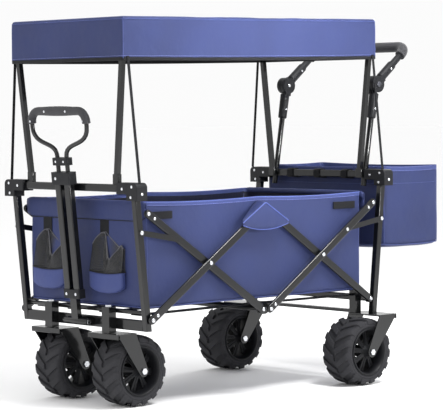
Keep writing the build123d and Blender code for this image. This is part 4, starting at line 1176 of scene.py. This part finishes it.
class WAGON_OT_rims(bpy.types.Operator):
    """Mould the four rims: lips, dished spokes with ribs, hubs and dust caps"""

    bl_idname = "wagon.rims"
    bl_label = "Rims"

    def execute(self, context):
        for end in ("front", "rear"):
            for side, _ in SIDES:
                self.add_rim(f"{end}_rim_{side}", f"{end}_wheel_{side}")
        return {"FINISHED"}

    def add_rim(self, node, body):
        """One rim, the same on both faces."""
        low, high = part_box(node)
        centre = (low + high) / 2
        lip = (high.z - low.z) / 2
        face = 51 * MM
        barrel = lip - 4 * MM
        profile = [
            (face - 1 * MM, lip - 0.6 * MM),
            (face, lip - 1.8 * MM),
            (face, lip - 3.6 * MM),
            (face - 1.2 * MM, lip - 5 * MM),
            (face - 9 * MM, barrel - 4.2 * MM),
            (face - 20 * MM, barrel - 6.5 * MM),
            (0, barrel - 7 * MM),
        ]
        inner = profile + [(-x, r) for x, r in reversed(profile[:-1])]
        outer = [(-face + 4 * MM, lip - 0.2 * MM), (-face + 4 * MM, barrel), (face - 4 * MM, barrel)]
        outer += [(face - 4 * MM, lip - 0.2 * MM)]
        parts = [turned(inner + outer, centre, LEFT, 72, closed=True)]
        bore, hub = 5.2 * MM, 16.5 * MM
        hub_profile = [(57.2, bore), (57.2, 9 * MM), (55.5, 10.5 * MM), (44, 11.5 * MM), (37, hub), (0, hub)]
        hub_profile = [(x * MM, r) for x, r in hub_profile]
        hub_profile += [(-x, r) for x, r in reversed(hub_profile[:-1])]
        parts.append(turned(hub_profile, centre, LEFT, 36, closed=True))
        for face_sign in (1, -1):
            for k in range(8):
                turn = math.radians(45 * k + 9)
                parts.append(self.spoke(centre, face_sign, turn, hub, barrel - 6 * MM))
        rim = make_piece(f"{node}_moulding", *joined(parts), moulded_nylon, body, "black_moulding", 35)
        modify(rim, "BEVEL", width=0.6 * MM, segments=2, limit_method="ANGLE", angle_limit=math.radians(38))
        settle(rim)
        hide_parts(node)

    def spoke(self, centre, face_sign, turn, hub, reach):
        """One dished spoke that widens towards the barrel, with a rib along its middle."""
        out = Vector((0, math.sin(turn), math.cos(turn)))
        side = Vector((0, math.cos(turn), -math.sin(turn)))
        path, sections = [], []
        for share in (0, 0.25, 0.5, 0.75, 1):
            depth = 37 - 6 * math.sin(math.pi * share * 0.5) - 5 * share
            along = out * lerp(hub - 2 * MM, reach + 2 * MM, share)
            path.append(centre + along + LEFT * face_sign * depth * MM)
            half, thick = (6.2 + 4.5 * share * share) * MM, 5.0 * MM
            sections.append([(half, -thick), (half, 0), (1.6 * MM, 0.6 * MM), (1.2 * MM, 2.8 * MM)])
            sections[-1] += [(-1.2 * MM, 2.8 * MM), (-1.6 * MM, 0.6 * MM), (-half, 0), (-half, -thick)]
        points, faces = [], []
        for centre_point, section in zip(path, sections):
            points += [centre_point + side * u + LEFT * face_sign * v for u, v in section]
        around = len(sections[0])
        for i in range(len(path) - 1):
            for k in range(around):
                after = (k + 1) % around
                quad = (i * around + k, i * around + after, (i + 1) * around + after, (i + 1) * around + k)
                faces.append(quad if face_sign < 0 else tuple(reversed(quad)))
        return points, faces


# ------------------------------------------------------------------ frame finishes and trim
NODE_FINISHES = {
    "powder_coat_steel": powder_coated_steel,
    "zinc_fasteners": zinc_plated_steel,
    "black_moulding": moulded_nylon,
    "button_plastic": moulded_abs,
    "grip_foam": skinned_nitrile_foam,
    "tyre_rubber": tyre_rubber,
    "blue_canvas": polyester_canvas,
    "black_webbing": polyester_webbing,
}


class WAGON_OT_frame_finish(bpy.types.Operator):
    """Coat the frame's steel, plate its fasteners and finish its mouldings"""

    bl_idname = "wagon.frame_finish"
    bl_label = "Frame finishes"

    def execute(self, context):
        trim = context.scene.wagon_trim
        for row in frame["record"]["subparts"]:
            node = frame["nodes"][row["node"]]
            maker = NODE_FINISHES[row["material_slot"]]
            node.data.materials.clear()
            node.data.materials.append(finish(maker))
            if row["material_slot"] in ("powder_coat_steel", "black_moulding"):
                self.round_edges(node, trim.tube_edge)
            elif row["material_slot"] == "zinc_fasteners":
                self.round_edges(node, 0.4 * MM)
        return {"FINISHED"}

    def round_edges(self, node, width):
        """Break a part's sharp edges, so that they catch light as real ones do."""
        modify(node, "WELD", merge_threshold=0.00002)
        modify(node, "DECIMATE", decimate_type="DISSOLVE", angle_limit=math.radians(0.6))
        bevel = modify(node, "BEVEL", width=width, segments=3, limit_method="ANGLE")
        bevel.angle_limit = math.radians(50)
        bevel.harden_normals = True


class WAGON_OT_side_bars(bpy.types.Operator):
    """Roll the flat-oval scissor bars of both sides"""

    bl_idname = "wagon.side_bars"
    bl_label = "Side bars"

    def execute(self, context):
        trim = context.scene.wagon_trim
        for letter, slope in (("a", -1), ("b", 1), ("c", 1), ("d", -1)):
            self.add_bars(trim, f"side_bars_{letter}", f"bars_{letter}", slope)
        return {"FINISHED"}

    def add_bars(self, trim, node, body, slope):
        """The left bar and its mirror image: a tube rolled flat, with closed round ends."""
        cad = frame["nodes"][node]
        angle = BAR_SLOPE * slope
        run = Vector((0, math.cos(angle), math.sin(angle)))
        rise = LEFT.cross(run)
        spots = [cad.matrix_world @ vertex.co for vertex in cad.data.vertices]
        spots = [spot for spot in spots if spot.x > 0]
        ends = [max(spot.dot(run) * way for spot in spots) * way for way in (-1, 1)]
        edges = [max(spot.dot(rise) * way for spot in spots) * way for way in (-1, 1)]
        faces_x = [max(spot.x * way for spot in spots) * way for way in (-1, 1)]
        half = (edges[1] - edges[0]) / 2
        outline = []
        for end, way in ((ends[1], 1), (ends[0], -1)):
            for k in range(13):
                turn = math.radians(-90 + 15 * k)
                along = end - way * half + way * half * math.cos(turn)
                across = (edges[0] + edges[1]) / 2 + way * half * math.sin(turn)
                outline.append(run * along + rise * across)
        count = len(outline)
        points = [spot + LEFT * x for x in faces_x for spot in outline]
        faces = [tuple(reversed(range(count))), tuple(range(count, 2 * count))]
        faces += [(k, (k + 1) % count, (k + 1) % count + count, k + count) for k in range(count)]
        bar = points, faces
        bars = make_piece(
            f"{node}_rolled", *joined([bar, mirrored(bar)]), powder_coated_steel, body, "powder_coat_steel"
        )
        bevel = modify(bars, "BEVEL", width=trim.bar_edge, segments=5, limit_method="ANGLE")
        bevel.angle_limit = math.radians(50)
        settle(bars)
        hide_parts(node)


class WAGON_OT_rivets(bpy.types.Operator):
    """Set the domed rivet heads of the bars, brackets and clips"""

    bl_idname = "wagon.rivets"
    bl_label = "Rivets"

    def execute(self, context):
        radius = context.scene.wagon_trim.rivet_radius
        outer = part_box("side_bars_b")[1].x + 1.95 * MM
        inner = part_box("side_bars_a")[1].x + 1.95 * MM
        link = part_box("front_links")[1].x + 1.95 * MM
        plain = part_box("side_bars_b")[1].x
        down_front = Vector((0, math.cos(BAR_SLOPE), math.sin(BAR_SLOPE))) * 21 * MM
        heads = {
            "bars_b": [
                (outer, pivots["bars_b_cross"], 1.15),
                (plain, pivots["front_frame_level"] + down_front, 1),
            ],
            "bars_c": [
                (outer, pivots["bars_d_cross"], 1.15),
                (plain, pivots["fold"] + down_front, 1),
            ],
            "centre_frame": [(outer, pivots["fold"], 1.15), (inner, pivots["bars_a_hub"], 1.15)],
            "front_frame": [
                (outer, pivots["front_frame_level"], 1.15),
                (link, pivots["front_link_swing"], 1.1),
            ],
            "rear_frame": [(inner, pivots["rear_frame_level"], 1.15), (link, pivots["rear_link_swing"], 1.1)],
            "basket_hubs": [(inner, pivots["hub_level"], 1.15)],
        }
        link_share, bar_top = 0.523, 512.8 * MM
        tip_y = {
            "bars_a": lerp(pivots["front_frame_level"].y, pivots["bars_b_cross"].y, link_share),
            "bars_c": lerp(pivots["rear_frame_level"].y, pivots["bars_d_cross"].y, link_share),
        }
        inner_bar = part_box("side_bars_a")[1].x
        for body, end in (("bars_a", "front"), ("bars_c", "rear")):
            cross = pivots["bars_b_cross" if end == "front" else "bars_d_cross"]
            z = lerp(bar_top, cross.z, link_share)
            face = inner_bar if body == "bars_a" else plain
            top = Vector((0, pivots[f"{end}_frame_level"].y, bar_top))
            down = (cross - top).normalized() * 24 * MM
            heads.setdefault(body, []).append((face, Vector((0, tip_y[body], z)), 1.1))
            heads[body] += [(face, top, 1.15), (face, top + down, 0.9)]
        for body, group in heads.items():
            parts = []
            for x, point, scale in group:
                part = dome(Vector((x, point.y, point.z)), LEFT, radius * scale, 2.3 * MM * scale)
                parts += [part, mirrored(part)]
            make_piece(f"rivet_heads_{body}", *joined(parts), zinc_plated_steel, body, "zinc_fasteners")
        self.bracket_rivets(radius)
        self.handle_rivets(radius)
        return {"FINISHED"}

    def bracket_rivets(self, radius):
        """Three rivets hold each corner bracket: two through its face and one through its side."""
        for end, out in (("front", -1), ("rear", 1)):
            low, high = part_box(f"{end}_brackets")
            face_y = low.y if out < 0 else high.y
            bar_z = (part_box(f"{end}_top_crossbar")[0].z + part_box(f"{end}_top_crossbar")[1].z) / 2
            spots = [(high.x - 20 * MM, bar_z + 5 * MM), (high.x - 58 * MM, bar_z - 1 * MM)]
            spots.append((high.x - 24 * MM, low.z + 9 * MM))
            parts = []
            for x, z in spots:
                for edge, way in ((face_y, out), (low.y if out > 0 else high.y, -out)):
                    part = dome(Vector((x, edge, z)), BACK * way, radius * 0.85, 2 * MM)
                    parts += [part, mirrored(part)]
            side = dome(Vector((high.x, (low.y + high.y) / 2, bar_z - 14 * MM)), LEFT, radius * 0.85, 2 * MM)
            parts += [side, mirrored(side)]
            make_piece(
                f"bracket_rivets_{end}", *joined(parts), zinc_plated_steel, f"{end}_frame", "zinc_fasteners"
            )

    def handle_rivets(self, radius):
        """Rivets through the pull handle's bottom clip and top cap."""
        for node, name in (("handle_bottom_clip", "clip"), ("handle_top_cap", "cap")):
            low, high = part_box(node)
            normal = Vector((0, -math.cos(HANDLE_LEAN), -math.sin(HANDLE_LEAN)))
            middle = (low + high) / 2
            thick = 12.5 * MM if node == "handle_bottom_clip" else 14 * MM
            parts = []
            for x in (-19, 19) if node == "handle_bottom_clip" else (-19,):
                spot = Vector((x * MM, middle.y, middle.z)) + normal * thick
                parts.append(dome(spot, normal, radius * 0.9, 2 * MM))
            make_piece(
                f"pull_{name}_rivets", *joined(parts), zinc_plated_steel, "pull_handle", "zinc_fasteners"
            )


class WAGON_OT_pull_loop(bpy.types.Operator):
    """Bend the pull handle's loop and mould its grip"""

    bl_idname = "wagon.pull_loop"
    bl_label = "Pull handle loop"

    def execute(self, context):
        root = pivots["pull_handle_tilt"]
        along = Vector((0, -math.sin(HANDLE_LEAN), math.cos(HANDLE_LEAN)))
        outward = Vector((0, -math.cos(HANDLE_LEAN), -math.sin(HANDLE_LEAN)))
        top, half, corner = 560, 113, 30

        def spot(x, height):
            return root + LEFT * x * MM + along * height * MM

        # Half of the rod, from inside the outer tube to the middle of the grip.
        bell = [Vector((19, 440)), Vector((19, 484)), Vector((half, 462)), Vector((half, 519))]
        rod = [(19, 110), (19, 300)]
        for k in range(13):
            t = k / 12
            weights = ((1 - t) ** 3, 3 * t * (1 - t) ** 2, 3 * t * t * (1 - t), t**3)
            rod.append(tuple(sum(w * p[a] for w, p in zip(weights, bell)) for a in range(2)))
        grip = [(half, 527 + k) for k in (0, 1, 3)]
        for k in range(7):
            turn = math.radians(15 * k)
            grip.append((half - corner + corner * math.cos(turn), top - corner + corner * math.sin(turn)))
        grip += [(x, top) for x in (66, 50, 34, 17)]
        rod += grip[3:]

        def whole(path):
            return [spot(x, h) for x, h in path] + [spot(0, top)] + [spot(-x, h) for x, h in reversed(path)]

        line = whole(rod)
        tube = sweep(line, round_section(6 * MM, 16), [outward] * len(line))
        loop = make_piece("pull_loop_rod", *tube, powder_coated_steel, "pull_grip", "powder_coat_steel")
        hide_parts("handle_loop")
        line = whole(grip)
        girths = [9.5, 11.3, 11.6] + [11.2] * 7 + [11.4, 12.0, 12.6, 12.9]
        girths += [13.0] + list(reversed(girths))
        points, faces = sweep(line, round_section(1.0, 20), [outward] * len(line))
        points = [lerp(line[i // 20], point, girths[i // 20] * MM) for i, point in enumerate(points)]
        sleeve = make_piece("pull_grip_sleeve", points, faces, skinned_nitrile_foam, "pull_grip", "grip_foam")
        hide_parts("handle_grip")
        heads = []
        for x, height, proud in ((44, top, 12.0), (108, 534, 11.0), (16, 427, 10.8)):
            for way in (1, -1):
                heads.append(dome(spot(x * way, height) + outward * proud * MM, outward, 3.2 * MM, 1.6 * MM))
        make_piece("pull_grip_rivets", *joined(heads), zinc_plated_steel, "pull_grip", "zinc_fasteners")
        return {"FINISHED"}


class WAGON_OT_push_sleeves(bpy.types.Operator):
    """Mould the sleeves above and below the push handle's hubs, with their rivets"""

    bl_idname = "wagon.push_sleeves"
    bl_label = "Push handle sleeves"

    def execute(self, context):
        hub = Vector((182 * MM, pivots["push_handle_tilt"].y, pivots["push_handle_tilt"].z))
        up_arm = Vector((0, math.cos(PUSH_ARM_RISE), math.sin(PUSH_ARM_RISE)))
        down_arm = Vector((0, -math.sin(PUSH_LEG_LEAN), -math.cos(PUSH_LEG_LEAN)))
        upper = [(27, 11.5), (29, 13.6), (88, 13.2), (92, 12.4), (93, 10.2), (134, 9.8), (137, 8.6)]
        lower = [(26, 11.5), (28, 13.6), (96, 12.8), (99, 11.6), (99.5, 8.4)]
        for name, body, arm, outline in (
            ("push_upper_sleeves", "push_handle", up_arm, upper),
            ("push_lower_sleeves", "rear_frame", down_arm, lower),
        ):
            profile = [(along * MM, radius * MM) for along, radius in outline]
            tube = turned(profile, hub, arm, 28)
            piece = make_piece(name, *joined([tube, mirrored(tube)]), moulded_nylon, body, "black_moulding")
            modify(piece, "BEVEL", width=0.5 * MM, segments=2, limit_method="ANGLE")
            settle(piece)
            heads = []
            for way in (1, -1):
                spot = hub + arm * 72 * MM + LEFT * way * 13.1 * MM
                heads.append(dome(spot, LEFT * way, 3.2 * MM, 1.6 * MM))
            if body == "rear_frame":
                heads.append(dome(hub - LEFT * 14.8 * MM, -LEFT, 5 * MM, 2.2 * MM))
            heads += [mirrored(head) for head in heads]
            make_piece(f"{name}_rivets", *joined(heads), zinc_plated_steel, body, "zinc_fasteners")
        return {"FINISHED"}


class WAGON_OT_fork_trim(bpy.types.Operator):
    """Fold the flanges at the ends of the forks' top plates"""

    bl_idname = "wagon.fork_trim"
    bl_label = "Fork trim"

    def execute(self, context):
        for side, _ in SIDES:
            low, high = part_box(f"front_fork_{side}")
            lip = self.lip(low, high, low.y, -1)
            name, body = f"fork_lip_front_{side}", f"caster_{side}"
            make_piece(name, *lip, powder_coated_steel, body, "powder_coat_steel")
        low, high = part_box("rear_forks")
        wheel_low, wheel_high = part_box("rear_tyre_left")
        inner = Vector((wheel_low.x + wheel_high.x - high.x, low.y, low.z))
        lip = self.lip(inner, high, high.y, 1)
        lips = joined([lip, mirrored(lip)])
        make_piece("fork_lips_rear", *lips, powder_coated_steel, "rear_frame", "powder_coat_steel")
        return {"FINISHED"}

    def lip(self, low, high, y, out):
        """A turned-down flange along the end of a fork's top plate."""
        z = high.z - 7.0 * MM
        spots = (low.x + 1 * MM, (low.x + high.x) / 2, high.x - 1 * MM)
        path = [Vector((x, y + out * 0.6 * MM, z)) for x in spots]
        return sweep(path, flat_section(14 * MM, 4.5 * MM), [UP] * len(path))


# ------------------------------------------------------------------ stage
class WAGON_OT_stage(bpy.types.Operator):
    """Lay the floor and backdrop, hang the lights and place the camera"""

    bl_idname = "wagon.stage"
    bl_label = "Stage"

    def execute(self, context):
        scene = context.scene
        stage = scene.wagon_stage
        self.add_floor(stage)
        self.add_lights(scene)
        self.add_camera(scene, stage)
        return {"FINISHED"}

    def add_floor(self, stage):
        """A wide white floor that meets the bright surround far behind the wagon."""
        mesh = bpy.data.meshes.new("studio_floor")
        reach = 60.0
        corners = [(-reach, -reach, 0), (reach, -reach, 0), (reach, reach, 0), (-reach, reach, 0)]
        mesh.from_pydata(corners, [], [(0, 1, 2, 3)])
        floor = bpy.data.objects.new("studio_floor", mesh)
        bpy.context.scene.collection.objects.link(floor)
        material, tree, shader, place = new_finish("painted_floor", stage.floor, 0.75)
        vary_roughness(tree, shader, grain(tree, place, 900), 0.7, 0.8)
        mesh.materials.append(material)

    def add_lights(self, scene):
        """A bright even surround, a key high on the left, and lights for the canopy and the edges."""
        world = bpy.data.worlds.new("studio_world")
        scene.world = world
        world.use_nodes = True
        world.node_tree.nodes["Background"].inputs[0].default_value = (1.0, 1.0, 1.0, 1.0)
        world.node_tree.nodes["Background"].inputs[1].default_value = 0.97
        middle, canopy = 0.5, (canopy_high * 0.96).z
        lights = (
            ("key", (1.7, 0.1, 3.2), 0.8, 104, 180, middle),
            ("canopy_side", (3.0, -0.1, 1.3), 0.8, 5.4, 26, canopy),
            ("rim", (-1.2, 3.0, 1.6), 0.9, 30, 180, middle),
            ("front", (-0.4, -3.0, 1.7), 1.6, 14, 180, middle),
        )
        for name, spot, size, power, spread, aim_z in lights:
            data = bpy.data.lights.new(f"studio_{name}", "AREA")
            data.size = size
            data.energy = power
            data.spread = math.radians(spread)
            lamp = bpy.data.objects.new(f"studio_{name}", data)
            scene.collection.objects.link(lamp)
            lamp.location = spot
            lamp.rotation_euler = (Vector((0, 0, aim_z)) - Vector(spot)).to_track_quat("-Z", "Y").to_euler()

    def add_camera(self, scene, stage):
        """A long lens, a little above the floor, off the wagon's front left corner."""
        azimuth, elevation, roll = (math.radians(a) for a in (46.78, 2.73, -0.458))
        back = Vector((
            math.sin(azimuth) * math.cos(elevation),
            -math.cos(azimuth) * math.cos(elevation),
            math.sin(elevation),
        ))
        data = bpy.data.cameras.new("studio_camera")
        data.lens = stage.lens
        data.sensor_width = 36.0
        camera = bpy.data.objects.new("studio_camera", data)
        scene.collection.objects.link(camera)
        aim = Vector((-0.004, -0.0243, 0.5))
        turn = (-back).to_track_quat("-Z", "Y").to_matrix().to_4x4()
        spot = Matrix.Translation(aim + back * stage.distance)
        camera.matrix_world = spot @ turn @ Matrix.Rotation(roll, 4, "Z")
        scene.camera = camera
        scene.view_settings.view_transform = "Standard"


OPERATORS = (
    WAGON_OT_frame_finish,
    WAGON_OT_basket,
    WAGON_OT_basket_trim,
    WAGON_OT_front_pockets,
    WAGON_OT_floor_straps,
    WAGON_OT_rear_bag,
    WAGON_OT_canopy,
    WAGON_OT_tyres,
    WAGON_OT_rims,
    WAGON_OT_side_bars,
    WAGON_OT_rivets,
    WAGON_OT_pull_loop,
    WAGON_OT_push_sleeves,
    WAGON_OT_fork_trim,
    WAGON_OT_stage,
)
GROUPS = {
    "wagon_cloth": WagonCloth,
    "wagon_tyres": WagonTyres,
    "wagon_trim": WagonTrim,
    "wagon_stage": WagonStage,
}


class WAGON_PT_panel(bpy.types.Panel):
    """The wagon's pieces and settings in the sidebar"""

    bl_idname = "WAGON_PT_panel"
    bl_label = "Folding camp wagon"
    bl_space_type = "VIEW_3D"
    bl_region_type = "UI"
    bl_category = "Wagon"

    def draw(self, context):
        for group in GROUPS:
            box = self.layout.box()
            settings = getattr(context.scene, group)
            for name in settings.bl_rna.properties.keys():
                if name not in ("name", "rna_type"):
                    box.prop(settings, name)
        for operator in OPERATORS:
            self.layout.operator(operator.bl_idname)


def register():
    """Register the settings, the operators and the panel."""
    for name, group in GROUPS.items():
        bpy.utils.register_class(group)
        setattr(bpy.types.Scene, name, bpy.props.PointerProperty(type=group))
    for operator in OPERATORS:
        bpy.utils.register_class(operator)
    bpy.utils.register_class(WAGON_PT_panel)


def unregister():
    """Take the panel, the operators and the settings away again."""
    bpy.utils.unregister_class(WAGON_PT_panel)
    for operator in reversed(OPERATORS):
        bpy.utils.unregister_class(operator)
    for name, group in reversed(GROUPS.items()):
        delattr(bpy.types.Scene, name)
        bpy.utils.unregister_class(group)


def main():
    """Make every piece in order."""
    register()
    for operator in OPERATORS:
        getattr(bpy.ops.wagon, operator.bl_idname.split(".")[1])()


if __name__ == "__main__":
    main()
